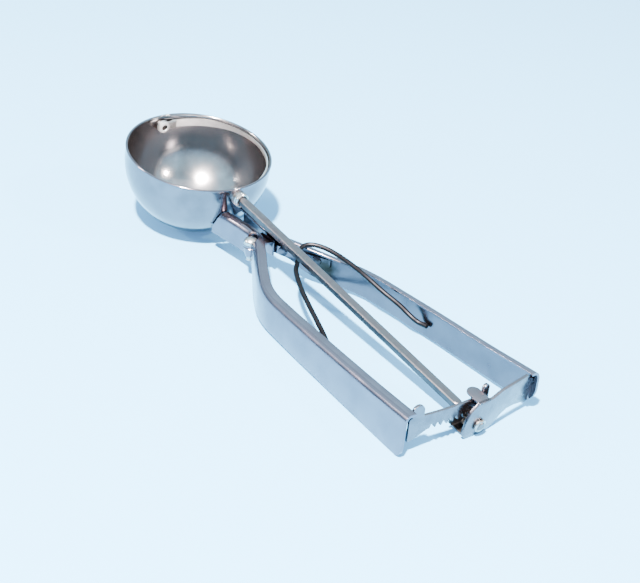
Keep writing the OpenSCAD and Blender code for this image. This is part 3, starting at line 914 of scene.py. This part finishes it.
@dataclass
class HandleShape:
    """Folded sheet of one handle: web, rounded shoulder and top flange.

    Attributes:
        name: Name of the piece.
        node: CAD node that it stands for.
        side: +1 for the fixed handle, -1 for the moving one.
        end: Rear end.
        flange: Flange width at each distance.
        stations: Distance, offset outwards, lower edge and upper edge.
        sheet: Sheet thickness.
        crease: Distance of the crease below the top.
        shoulder: Reach of the rounded shoulder from the web's outer face.
        crease_angle: Slope at which the shoulder leaves the web.
        lip: Width of the rounding at the sheet's edges.
    """

    name: str
    node: str
    side: int
    end: float
    flange: Outline
    stations: tuple[tuple[float, float, float, float], ...]
    sheet: float = 1.0
    crease: float = 2.9
    shoulder: float = 2.3
    crease_angle: float = 20.0
    lip: float = 0.12

    def section(self, low: float, high: float, width: float) -> list[Flat]:
        """Cross-section of the folded sheet.

        Args:
            low: Lower edge.
            high: Upper edge.
            width: Flange width.

        Returns:
            Inset and height of each point.
        """
        t, top, lip, reach = self.sheet, high - self.crease, self.lip, self.shoulder
        first = self.crease_angle
        c0, s0 = math.cos(math.radians(first)), math.sin(math.radians(first))
        points = [(lip, low), (0.0, low + lip), (0.0, (low + top) / 2)]
        for a in (math.radians(first + (90 - first) * i / 9) for i in range(10)):
            rise = self.crease * (math.sin(a) - s0) / (1 - s0)
            points.append((reach * (c0 - math.cos(a)) / c0, top + rise))
        points += [(width - 0.15, high), (width, high - 0.15)]
        points += [(width, high - t + 0.15), (width - 0.15, high - t)]
        for a in (math.pi / 2 * i / 7 for i in range(8)):
            rise = (self.crease + 0.4 - t) * math.cos(a)
            points.append((t + (reach + 0.1 - t) * (1 - math.sin(a)), top - 0.4 + rise))
        return points + [(t, (low + top) / 2), (t, low + lip), (t - lip, low)]

    def ring(self, path: Sequence[Vector], i: int, corners: Sequence[Flat]) -> list[Vector]:
        """Ring across the handle at one station.

        Args:
            path: Smoothed stations.
            i: Which of them.
            corners: Inset and height of each point.

        Returns:
            The ring in the work frame.
        """
        a, b = path[max(i - 1, 0)], path[min(i + 1, len(path) - 1)]
        t = Vector((b[0] - a[0], b[1] - a[1])).normalized()
        x, y = path[i][0], path[i][1]
        return [Vector((x + t.y * d, (y - t.x * d) * self.side, z)) for d, z in corners]

    def shell(self) -> Object:
        """Sheet before its cuts.

        Returns:
            The scratch object.
        """
        path = smooth(self.stations, 6)
        rings = []
        for i, (x, _, low, high) in enumerate(path):
            rings.append(self.ring(path, i, self.section(low, high, between(self.flange, x))))
        return skin(rings, self.name)

    def lining(self, span: Flat, edges: Flat, thick: float, name: str) -> Object:
        """Sheet strip along the inner face of the web.

        Args:
            span: Front and rear end.
            edges: Lower and upper edge.
            thick: Thickness.
            name: Name of the scratch object.

        Returns:
            The scratch object.
        """
        path, t, (low, high) = smooth(self.stations, 6), self.sheet, edges
        corners = ((t, low), (t, high), (t + thick, high), (t + thick, low))
        inside = [i for i, p in enumerate(path) if span[0] <= p[0] <= span[1]]
        return skin([self.ring(path, i, corners) for i in inside], name, 0.12)


LEFT = HandleShape(
    "Left_Handle", "left_handle", -1, 175.0,
    ((28.0, 3.5), (42.0, 3.8), (50.0, 4.7), (60.0, 4.9), (175.0, 4.8)),
    (
        (23.6, 7.45, 8.9, 19.6), (28, 6.9, 8.9, 19.6), (34, 6.3, 8.9, 19.6), (40, 5.85, 9, 19.5),
        (46, 5.9, 9, 19.3), (51, 7.4, 9, 18.9), (56, 10.1, 8.2, 18.1), (61, 13.1, 5.2, 17.1),
        (66, 16.1, 2.7, 16.2), (71, 18.9, 1.8, 15.5), (77, 21.8, 1.6, 15), (85, 24.2, 1.5, 14.8),
        (96, 25.6, 1.4, 14.9), (110, 27, 1.2, 15.2), (125, 28.3, 1, 15.5), (140, 29.5, 0.7, 15.8),
        (155, 30.7, 0.4, 16.2), (166, 31.6, 0.15, 16.7), (175, 32.3, 0.05, 17.1),
    ),
)
RIGHT = HandleShape(
    "Right_Handle", "right_handle", 1, 176.8,
    ((27.0, 3.6), (60.0, 4.0), (176.8, 4.1)),
    (
        (27, 6.7, 8.9, 19.5), (34, 5.9, 8.9, 19.5), (40, 5.2, 9, 19.4), (46, 5.2, 9, 19.1),
        (51, 6.5, 9, 18.6), (56, 9, 8.2, 18), (61, 11.9, 5.2, 17.3), (66, 14.9, 3.2, 16.4),
        (71, 17.9, 2.5, 15.6), (77, 20.9, 2.2, 15), (85, 24, 1.8, 14.8), (96, 25.8, 1.4, 14.8),
        (110, 26.5, 1.3, 15.1), (125, 27.3, 1.5, 15.3), (140, 27.7, 1.6, 15.6), (155, 28, 1.8, 16),
        (168, 28.2, 2.3, 16.7), (176.8, 28.35, 2.6, 17.1),
    ),
)


@dataclass
class NeckAssembly:
    """Bracket, rivets, pin and knuckle at the neck.

    The knuckle turns on the pin between two lugs of the bracket, with some play at each.
    """

    pin: float = 1.3
    pin_head: float = 2.8
    pin_top: float = 18.4
    pin_foot: float = 1.5
    dome: float = 2.0
    knuckle_low: float = 10.4
    knuckle_high: float = 14.4
    play: float = 0.3
    small: float = 1.9
    large: float = 2.7
    lug_sheet: float = 0.9
    low: float = 8.9
    high: float = 17.7
    left: float = 4.3
    right: float = 3.5
    front: float = 12.1
    roof_end: float = 45.35
    end: float = 51.9
    neck_step: float = 0.65
    sheet: float = 1.0
    arm_span: Flat = (41.1, 71.2)
    arm_edges: Flat = (9.8, 13.2)
    rivets: Flat = (54.0, 66.5)
    rivet_height: float = 11.5
    rivet_half: Outline = (
        (0.0, -0.65), (1.2, -0.6), (1.8, -0.42), (2.0, -0.1), (1.3, -0.1),
    )

    def lug(self, r: float, x0: float, y0: float) -> list[Flat]:
        """Plate outline with a round lug about the pin.

        Args:
            r: Radius of the lug.
            x0: Front edge of the plate.
            y0: Left edge of the plate.

        Returns:
            The outline.
        """
        px, half = PIVOT.x, r - self.neck_step
        turn = math.degrees(math.acos(half / r))
        rim = arc(px, PIVOT.y, r, 180 - turn, 360 + turn, 28)
        back = [(px + half, y0), (self.end, y0), (self.end, self.right), (x0, self.right)]
        return [(x0, y0), (px - half, y0)] + rim + back

    def bracket(self) -> Object:
        """Channel bracket between the bowl and the fixed handle.

        Returns:
            The scratch object.
        """
        bm = bmesh.new()
        lug_low = self.knuckle_high + self.play
        lug_top = lug_low + self.lug_sheet
        a, b, y0, y1 = self.front, self.roof_end, 0.5 - self.left, self.right
        lower, upper = self.lug(self.small, a, -self.left), self.lug(self.pin_head, b - 2.0, y0)
        add_plate(bm, lower, self.low, self.knuckle_low - self.play, Matrix())
        add_plate(bm, upper, lug_low, lug_top, Matrix())
        roof = [(a, y0 + 0.2), (b - 0.8, y0 + 0.2), (b, y0 + 1.0), (b, y1), (a, y1)]
        add_plate(bm, roof, self.high - self.sheet, self.high, Matrix())
        # The walls start and end a little inside the plates that they join.
        for x0, x1, top in ((a, b, self.high), (b - 1.0, self.end, lug_top)):
            wall = [(x0, y1 - self.sheet), (x1, y1 - self.sheet), (x1, y1), (x0, y1)]
            add_plate(bm, wall, self.low + 0.02, top - 0.02, Matrix())
        soften(bm, 0.15)
        obj = solid(bm, "Neck_Bracket")
        trim(obj, [bowl_space(0.0), bore(self.pin, 0, 30, ON_PIVOT)])
        arm = RIGHT.lining(self.arm_span, self.arm_edges, self.sheet, "arm")
        return join([obj, arm], "Neck_Bracket")

    def knuckle(self) -> Object:
        """Tapered knuckle of the moving handle.

        Returns:
            The scratch object.
        """
        b, r, wide = self.pin + 0.06, self.small, self.large
        a, e = self.knuckle_low, self.knuckle_high
        profile = [(b, a), (r - 0.15, a), (r, a + 0.15), (wide, e - 0.2), (wide - 0.2, e), (b, e)]
        return turned(profile, ON_PIVOT, "Hinge_Knuckle", 56, closed=True)

    def pivot_pin(self) -> Object:
        """Pin with a domed head.

        Returns:
            The scratch object.
        """
        r, head, foot, a = self.pin, self.pin_head, self.pin_foot, self.low - 0.4
        seat = self.knuckle_high + self.play + self.lug_sheet
        profile = [(0.0, a), (foot - 0.2, a), (foot, a + 0.15), (foot, self.low), (r, self.low)]
        profile += [(r, seat), (head - 0.1, seat), (head, seat + 0.1)]
        for turn in (math.pi / 2 * i / 14 for i in range(14)):
            z = self.pin_top - self.dome + self.dome * math.sin(turn)
            profile.append((head * math.cos(turn), z))
        return turned(profile + [(0.0, self.pin_top)], ON_PIVOT, "Pivot_Pin", 56)

    def bracket_rivets(self) -> Object:
        """Domed rivets through the fixed handle and the bracket's arm.

        Returns:
            The scratch object.
        """
        path = smooth(RIGHT.stations, 6)
        stack = RIGHT.sheet + self.sheet
        profile = list(self.rivet_half) + [(r, stack - z) for r, z in reversed(self.rivet_half)]
        parts = []
        for x in self.rivets:
            i = max(k for k, p in enumerate(path) if p[0] <= x)
            a, b = path[i - 1], path[i + 1]
            turn = Matrix.Rotation(math.atan2(b[1] - a[1], b[0] - a[0]), 4, "Z")
            place = Matrix.Translation((path[i][0], path[i][1], self.rivet_height)) @ turn
            parts.append(turned(profile, place @ Matrix.Rotation(math.pi / 2, 4, "X"), "rivet", 40))
        return join(parts, "Bracket_Rivets")

    def build(self, sculpt: Sculpt) -> None:
        """Makes every piece.

        Args:
            sculpt: Finishes the pieces.
        """
        sculpt.finish(self.bracket(), Finish.HANDLE, Body.FRAME, "neck_bracket")
        sculpt.finish(self.knuckle(), Finish.HANDLE, Body.HANDLE, "hinge_knuckle")
        sculpt.finish(self.pivot_pin(), Finish.BRIGHT, Body.FRAME, "pivot_pin")
        # The rivets take the darker tone painted in as shade.
        sculpt.finish(self.bracket_rivets(), Finish.HANDLE_PAINTED_SHADE, Body.FRAME, "bracket_rivets")


@dataclass
class HandlePair:
    """Both folded handles with their cuts."""

    neck: NeckAssembly
    gap: float = 0.35
    head_gap: float = 0.55
    left_bowl_gap: float = 0.5
    right_bowl_gap: float = 0.3
    edge: float = 0.12
    # Height below which the inner faces of the fixed handle's web take painted shade.
    painted_shade_below: float = 15.4

    def left(self) -> Object:
        """Moving handle, cut round the bowl and the pin.

        Returns:
            The scratch object.
        """
        n = self.neck
        lug, head = n.small + self.gap, n.pin_head + self.head_gap
        a, e = n.knuckle_low, n.knuckle_high
        profile = [(0.0, 0.0), (lug, 0.0), (lug, a - 0.02), (n.small, a), (n.large, e)]
        profile += [(head, e + 0.02), (head, 30.0), (0.0, 30.0)]
        obj = LEFT.shell()
        pin_space = turned(profile, ON_PIVOT, "pin_space")
        corner = rear_corner(LEFT.end, y0=-40.0, y1=-20.0, r=4.0)
        trim(obj, [bowl_space(self.left_bowl_gap), pin_space, corner], self.edge)
        return obj

    def right(self) -> Object:
        """Fixed handle, cut round the bowl.

        Returns:
            The scratch object.
        """
        obj = RIGHT.shell()
        corner = rear_corner(RIGHT.end, y0=15.0, y1=35.0, r=7.0, z=2.6)
        trim(obj, [bowl_space(self.right_bowl_gap), corner], self.edge)
        return obj

    def looks_in(self, face: MeshPolygon) -> bool:
        """Tells whether a face belongs to the inner side of the fixed handle's web, low enough to
        take painted shade.
        """
        return face.normal.y < -0.5 and face.center.z < self.painted_shade_below * MM

    def build(self, sculpt: Sculpt) -> None:
        """Makes every piece.

        Args:
            sculpt: Finishes the pieces.
        """
        sculpt.finish(self.left(), Finish.HANDLE, Body.HANDLE, LEFT.node, 17.0)
        # Low inner faces of the fixed handle's web get a darker tone painted in as shade.
        inside = (17.0, Finish.HANDLE_PAINTED_SHADE, self.looks_in)
        sculpt.finish(self.right(), Finish.HANDLE, Body.FRAME, RIGHT.node, *inside)


@dataclass
class GearAssembly:
    """Gear housing and rack plate at the handle ends.

    Outlines are sideways and above the rod's axis; those of the rack are above the table.
    """

    plate_at: float = 178.3
    plate_sheet: float = 1.3
    rear_outline: Outline = (
        (-4.8, -4.75), (3.3, -4.75), (3.3, 10.1), (-2.5, 10.1), (-2.9, 9.2), (-5.1, 7), (-6.3, 3),
        (-6.5, -3), (-5.8, -4.1),
    )
    wing_outline: Outline = (
        (0, -4.55), (2.3, -4.5), (4.9, -3.8), (9, -0.9), (12, 0.2), (16, -0.1), (20, -1.1),
        (23.6, -2.4), (24.3, -1.9), (24.3, 8.6), (20.6, 9.4), (20.6, 11.3), (6, 11.1),
        (1.5, 9.95), (0, 9.95),
    )
    wing_at: float = 3.0
    wing_angle: float = math.radians(9.0)
    cheek_at: float = 171.6
    cheek_sheet: float = 0.8
    cheek_outline: Outline = (
        (-6.4, 3.4), (-6.4, -3), (-4.8, -4.75), (4.8, -4.75), (6.4, -3), (6.4, 3.4), (3.5, 4.6),
        (-3.5, 4.6),
    )
    floor_outline: Outline = ((-4.8, -4.75), (1.5, -4.75), (1.5, -4.15), (-4.8, -4.15))
    rod_hole: float = 1.65
    tab_low: float = 9.3
    tab_sheet: float = 0.8
    tab_front: float = 170.9
    tab_half: float = 2.7
    tab_shift: float = 0.2
    leg_span: Flat = (172.2, 175.3)
    leg_edges: Flat = (4.4, 14.2)
    leg_sheet: float = 1.1
    edge: float = 0.2
    radius: float = 125.3
    sheet: float = 1.2
    pitch: float = math.pi * 0.8
    pitch_radius: float = 3.2
    tooth_share: float = 0.62
    above_pitch: float = 0.92
    below_pitch: float = 0.6
    flank: float = math.tan(math.radians(20))
    top: float = 14.0
    low: float = 4.6
    rack_span: Flat = (162.0, 172.7)

    def housing(self) -> Object:
        """Folded housing that holds the rod's end and guides the rack.

        Returns:
            The scratch object.
        """
        at, end = self.plate_at, self.plate_at + self.plate_sheet
        cheek_end = self.cheek_at + self.cheek_sheet
        rear = plate(self.rear_outline, at, end, along_rod(), "rear", self.edge)
        cheek = plate(self.cheek_outline, self.cheek_at, cheek_end, along_rod(), "cheek", self.edge)
        floor = plate(self.floor_outline, self.cheek_at, at + 0.05, along_rod(), "floor", self.edge)
        for drilled in (rear, cheek):
            trim(drilled, [bore(self.rod_hole, 160, 190, along_rod())])
        half = self.plate_sheet / 2
        hinge = Matrix.Translation((at + half, self.wing_at, 0.0))
        turn = hinge @ Matrix.Rotation(self.wing_angle, 4, "Z")
        thin = half - 0.03
        wing = plate(self.wing_outline, -thin, thin, ON_ROD @ turn @ ENDWISE, "wing", 0.22)
        y, r, low = self.tab_shift, self.tab_half, self.tab_low
        outline = arc(self.tab_front + r, y, r, 90, 270, 28) + [(end, y - r), (end, y + r)]
        tab = plate(outline, low, low + self.tab_sheet, ON_ROD, "tab", self.edge)
        leg = RIGHT.lining(self.leg_span, self.leg_edges, self.leg_sheet, "leg")
        return join([rear, cheek, floor, wing, tab, leg], "Gear_Housing")

    def rack_outline(self) -> list[Flat]:
        """Outline of the rack plate laid flat.

        Returns:
            Sideways position and height of each point.
        """
        mid_x = PIVOT.x + math.sqrt(self.radius**2 - PIVOT.y**2)
        pitch_z = BOWL_RADIUS - mid_x * math.tan(TILT) + self.pitch_radius / math.cos(TILT)
        tip, root = pitch_z - self.below_pitch, pitch_z + self.above_pitch
        half = self.pitch * self.tooth_share / 2
        wide, narrow = half + self.below_pitch * self.flank, half - self.above_pitch * self.flank
        outline = [(-27.2, self.low), (-20.8, tip)]
        for c in ((i + 0.5) * self.pitch for i in range(-8, 2)):
            outline += [(c - wide, tip), (c - narrow, root), (c + narrow, root), (c + wide, tip)]
        outline += [(6.2, tip)] + arc(4.7, 16.4, 1.5, 0, 180, 12)
        outline += [(3.2, self.top), (-22.7, self.top)] + arc(-25.0, 16.2, 2.3, 0, 180, 14)
        return outline + [(-27.3, self.top), (-28.4, 13.4), (-28.4, self.low)]

    def rack(self) -> Object:
        """Toothed rack plate, bent to its radius about the pivot.

        Returns:
            The scratch object.
        """
        bm = bmesh.new()
        add_plate(bm, self.rack_outline(), -self.sheet / 2, self.sheet / 2, ENDWISE)
        soften(bm, 0.14)
        # Cuts across the plate let it bend; they keep off its corners.
        for y in (k + 0.37 for k in range(-28, 7, 3)):
            geom = bm.verts[:] + bm.edges[:] + bm.faces[:]
            bmesh.ops.bisect_plane(bm, geom=geom, plane_co=(0, y, 0), plane_no=(0, 1, 0))
        rest = math.asin(-PIVOT.y / self.radius)
        for v in bm.verts:
            a, r = rest + v.co.y / self.radius, self.radius + v.co.x
            v.co = Vector((PIVOT.x + r * math.cos(a), PIVOT.y + r * math.sin(a), v.co.z))
        leg = LEFT.lining(self.rack_span, (self.low, 13.4), self.sheet, "leg")
        return join([solid(bm, "rack"), leg], "Rack_Plate")

    def looks_in(self, face: MeshPolygon) -> bool:
        """Tells whether a face lies inside the housing, round the pinion, where shade is painted.
        """
        at = ROW_TO_ROD @ face.center
        return at.x < self.plate_at - 0.2 and at.z < 6.0 and abs(at.y) < 8.0

    def build(self, sculpt: Sculpt) -> None:
        """Makes every piece.

        Args:
            sculpt: Finishes the pieces.
        """
        # The housing's inner faces round the pinion get a deep tone painted in as shade.
        painted_shade = {"inside": Finish.HOUSING_INSIDE_PAINTED_SHADE, "is_inside": self.looks_in}
        sculpt.finish(self.housing(), Finish.HOUSING, Body.FRAME, "gear_housing", **painted_shade)
        sculpt.finish(self.rack(), Finish.HOUSING, Body.HANDLE, "rack_plate")


@dataclass
class ReturnSpring:
    """Bent wire that pushes the handles apart."""

    radius: float = 0.98
    sides: int = 20
    # Where the wire starts and stops following the moving handle; these are passed on but not used.
    bend_start: Point = (66.0, 6.0, 12.0)
    bend_end: Point = (66.0, -20.0, 12.0)
    # Shift and scale of the rings that round off an end.
    tip: Outline = ((0.3, 0.45), (0.2, 0.8))
    points: tuple[Point, ...] = (
        (121.3, 25, 6.7), (119.3, 24.6, 6.7), (117.3, 23.8, 6.9), (114.5, 22.5, 8.3),
        (108.8, 21.4, 10.5), (102.6, 19.8, 12.4), (98, 18.4, 14.2), (92, 17.5, 15.9),
        (85.2, 17.2, 16.8), (76.8, 16.4, 17.5), (70.2, 14.4, 18.3), (65.6, 11.3, 18.5),
        (64.3, 7.9, 18), (66.1, 4.6, 17), (69.2, 1.9, 16.3), (72.6, -1.1, 16), (76, -4, 15.9),
        (81, -6.7, 15.4), (88, -9.8, 14.6), (97.5, -13.1, 13.4), (106.6, -16.1, 12.2),
        (113.5, -18.4, 11.2), (120, -21, 10.3), (124, -23.2, 9.8), (126, -25, 9.6),
        (127.2, -26.2, 9.5),
    )

    def wire(self) -> Object:
        """The wire with rounded ends.

        Returns:
            The scratch object.
        """
        path = smooth(self.points, 6)
        last = len(path) - 1
        turns = [math.tau * j / self.sides for j in range(self.sides)]
        rings = []
        for i, p in enumerate(path):
            t = (path[min(i + 1, last)] - path[max(i - 1, 0)]).normalized()
            s = Vector((0, 0, 1)).cross(t).normalized()
            u = t.cross(s)
            start = [(-shift, scale) for shift, scale in self.tip] if i == 0 else []
            end = list(reversed(self.tip)) if i == last else []
            for shift, scale in start + [(0.0, 1.0)] + end:
                centre, r = p + t * shift, self.radius * scale
                rings.append([centre + r * (math.cos(a) * s + math.sin(a) * u) for a in turns])
        return skin(rings, "Return_Spring")

    def build(self, sculpt: Sculpt) -> None:
        """Makes the wire.

        Args:
            sculpt: Finishes the piece.
        """
        bend = (Body.HANDLE, self.bend_start, self.bend_end)
        sculpt.finish(self.wire(), Finish.SPRING, Body.FRAME, "return_spring", 40.0, bend=bend)


# The studio


@dataclass(frozen=True)
class Lamp:
    """A soft square lamp.

    Attributes:
        name: Name of the light.
        place: Where it hangs, in metres from the scoop.
        size: Side length in metres.
        watts: Power.
        tone: Colour.
    """

    name: str
    place: Point
    size: float
    watts: float
    tone: str

    def hang(self, aim: Point) -> None:
        """Adds the lamp.

        Args:
            aim: The point that it faces.
        """
        data = bpy.data.lights.new(self.name, "AREA")
        data.shape = "SQUARE"
        data.size = self.size
        data.energy = self.watts
        data.color = linear(self.tone)[:3]
        obj = bpy.data.objects.new(self.name, data)
        bpy.context.scene.collection.objects.link(obj)
        obj.location = self.place
        obj.rotation_euler = (Vector(aim) - Vector(self.place)).to_track_quat("-Z", "Y").to_euler()


@dataclass
class Studio:
    """Floor, light and camera.

    Attributes:
        focal_px: Focal length in pixels of a picture that is width_px wide.
        position: Where the camera stands; right, down and ahead are its directions.
        floor_glow: Light that the floor gives back by itself.
        room: Strength of the light of the room.
        room_tones: Colour of the room from below to above.
        aim: The point that the lamps face, in metres.
    """

    focal_px: float = 1478.058
    width_px: float = 640.0
    sensor: float = 36.0
    position: Point = (462.099, -316.514, 287.739)
    right: Point = (0.6019738, 0.7933197, 0.0909472)
    down: Point = (0.4404954, -0.2349158, -0.8664747)
    ahead: Point = (-0.6660265, 0.5616569, -0.4908668)
    floor_tone: str = "5187a7"
    floor_glow: Colour = (0.22, 0.52, 1.0, 1.0)
    room: float = 3.4
    room_tones: tuple[tuple[float, str], ...] = (
        (0.0, "3f4c56"), (0.1, "64829a"), (0.26, "8db6d2"), (0.38, "a6d6f0"), (0.62, "acdff8"),
        (1.0, "a5cde4"),
    )
    aim: Point = (-0.03, 0.0, 0.0)
    lamps: tuple[Lamp, ...] = (
        Lamp("key", (0.412, -0.566, 1.15), 0.07, 430.0, "fffdf8"),
        Lamp("ceiling", (0.0, 0.1, 1.3), 1.4, 6.0, "ffffff"),
        Lamp("lamp_right", (0.806, 0.6, 0.776), 0.06, 22.0, "fffaf2"),
        Lamp("lamp_left", (-0.65, -0.89, 0.59), 0.14, 22.0, "ffffff"),
    )

    def camera(self) -> None:
        """Adds the camera."""
        data = bpy.data.cameras.new("camera")
        data.sensor_fit = "HORIZONTAL"
        data.sensor_width = self.sensor
        data.lens = self.focal_px * self.sensor / self.width_px
        data.clip_start = 0.01
        data.clip_end = 20.0
        obj = bpy.data.objects.new("camera", data)
        bpy.context.scene.collection.objects.link(obj)
        axes = Matrix((Vector(self.right), -Vector(self.down), -Vector(self.ahead)))
        place = Matrix.Translation((Vector(self.position) + ROW_SHIFT) * MM)
        obj.matrix_world = place @ axes.transposed().to_4x4()
        bpy.context.scene.camera = obj

    def floor(self) -> None:
        """Adds a plain pale floor."""
        bm = bmesh.new()
        bmesh.ops.create_grid(bm, x_segments=1, y_segments=1, size=6.0)
        mesh = bpy.data.meshes.new("Floor")
        bm.to_mesh(mesh)
        bm.free()
        obj = bpy.data.objects.new("Floor", mesh)
        bpy.context.scene.collection.objects.link(obj)
        mat = bpy.data.materials.new("matt_floor_paper")
        mat.use_nodes = True
        settings = {
            "Base Color": linear(self.floor_tone), "Roughness": 0.8, "Specular IOR Level": 0.1,
            "Emission Color": self.floor_glow, "Emission Strength": 0.5,
        }
        for name, value in settings.items():
            mat.node_tree.nodes["Principled BSDF"].inputs[name].default_value = value
        mesh.materials.append(mat)

    def sky(self) -> None:
        """Adds the uneven light of the room, darker low down."""
        world = bpy.data.worlds.new("room")
        world.use_nodes = True
        tree = world.node_tree
        around = add_node(tree, "TexCoord").outputs["Generated"]
        height = add_node(tree, "SeparateXYZ", links={"Vector": around}).outputs["Z"]
        walls = add_node(tree, "ValToRGB", links={"Fac": height})
        stops = walls.color_ramp.elements
        while len(stops) < len(self.room_tones):
            stops.new(0.5)
        for stop, (place, tone) in zip(stops, self.room_tones):
            stop.position = place
            stop.color = linear(tone)
        cloud = add_node(tree, "TexNoise", {"Scale": 2.2, "Detail": 1.5}, {"Vector": around})
        spread = dict(zip(RANGE, (0.3, 0.7, self.room * 0.55, self.room * 1.3)))
        level = add_node(tree, "MapRange", spread, {"Value": cloud.outputs["Fac"]})
        back = tree.nodes["Background"]
        tree.links.new(walls.outputs["Color"], back.inputs["Color"])
        tree.links.new(level.outputs["Result"], back.inputs["Strength"])
        bpy.context.scene.world = world

    def build(self) -> None:
        """Sets the studio up."""
        self.camera()
        self.floor()
        self.sky()
        for lamp in self.lamps:
            lamp.hang(self.aim)


def main() -> None:
    """Builds the scoop and the studio."""
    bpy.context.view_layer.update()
    sculpt = Sculpt()
    neck = NeckAssembly()
    front = [BowlAssembly(), ScraperAssembly(), neck]
    for part in front + [HandlePair(neck), GearAssembly(), ReturnSpring()]:
        part.build(sculpt)
    Studio().build()
    LOG.info("%d pieces", len(sculpt.made))


if __name__ == "__main__":
    main()
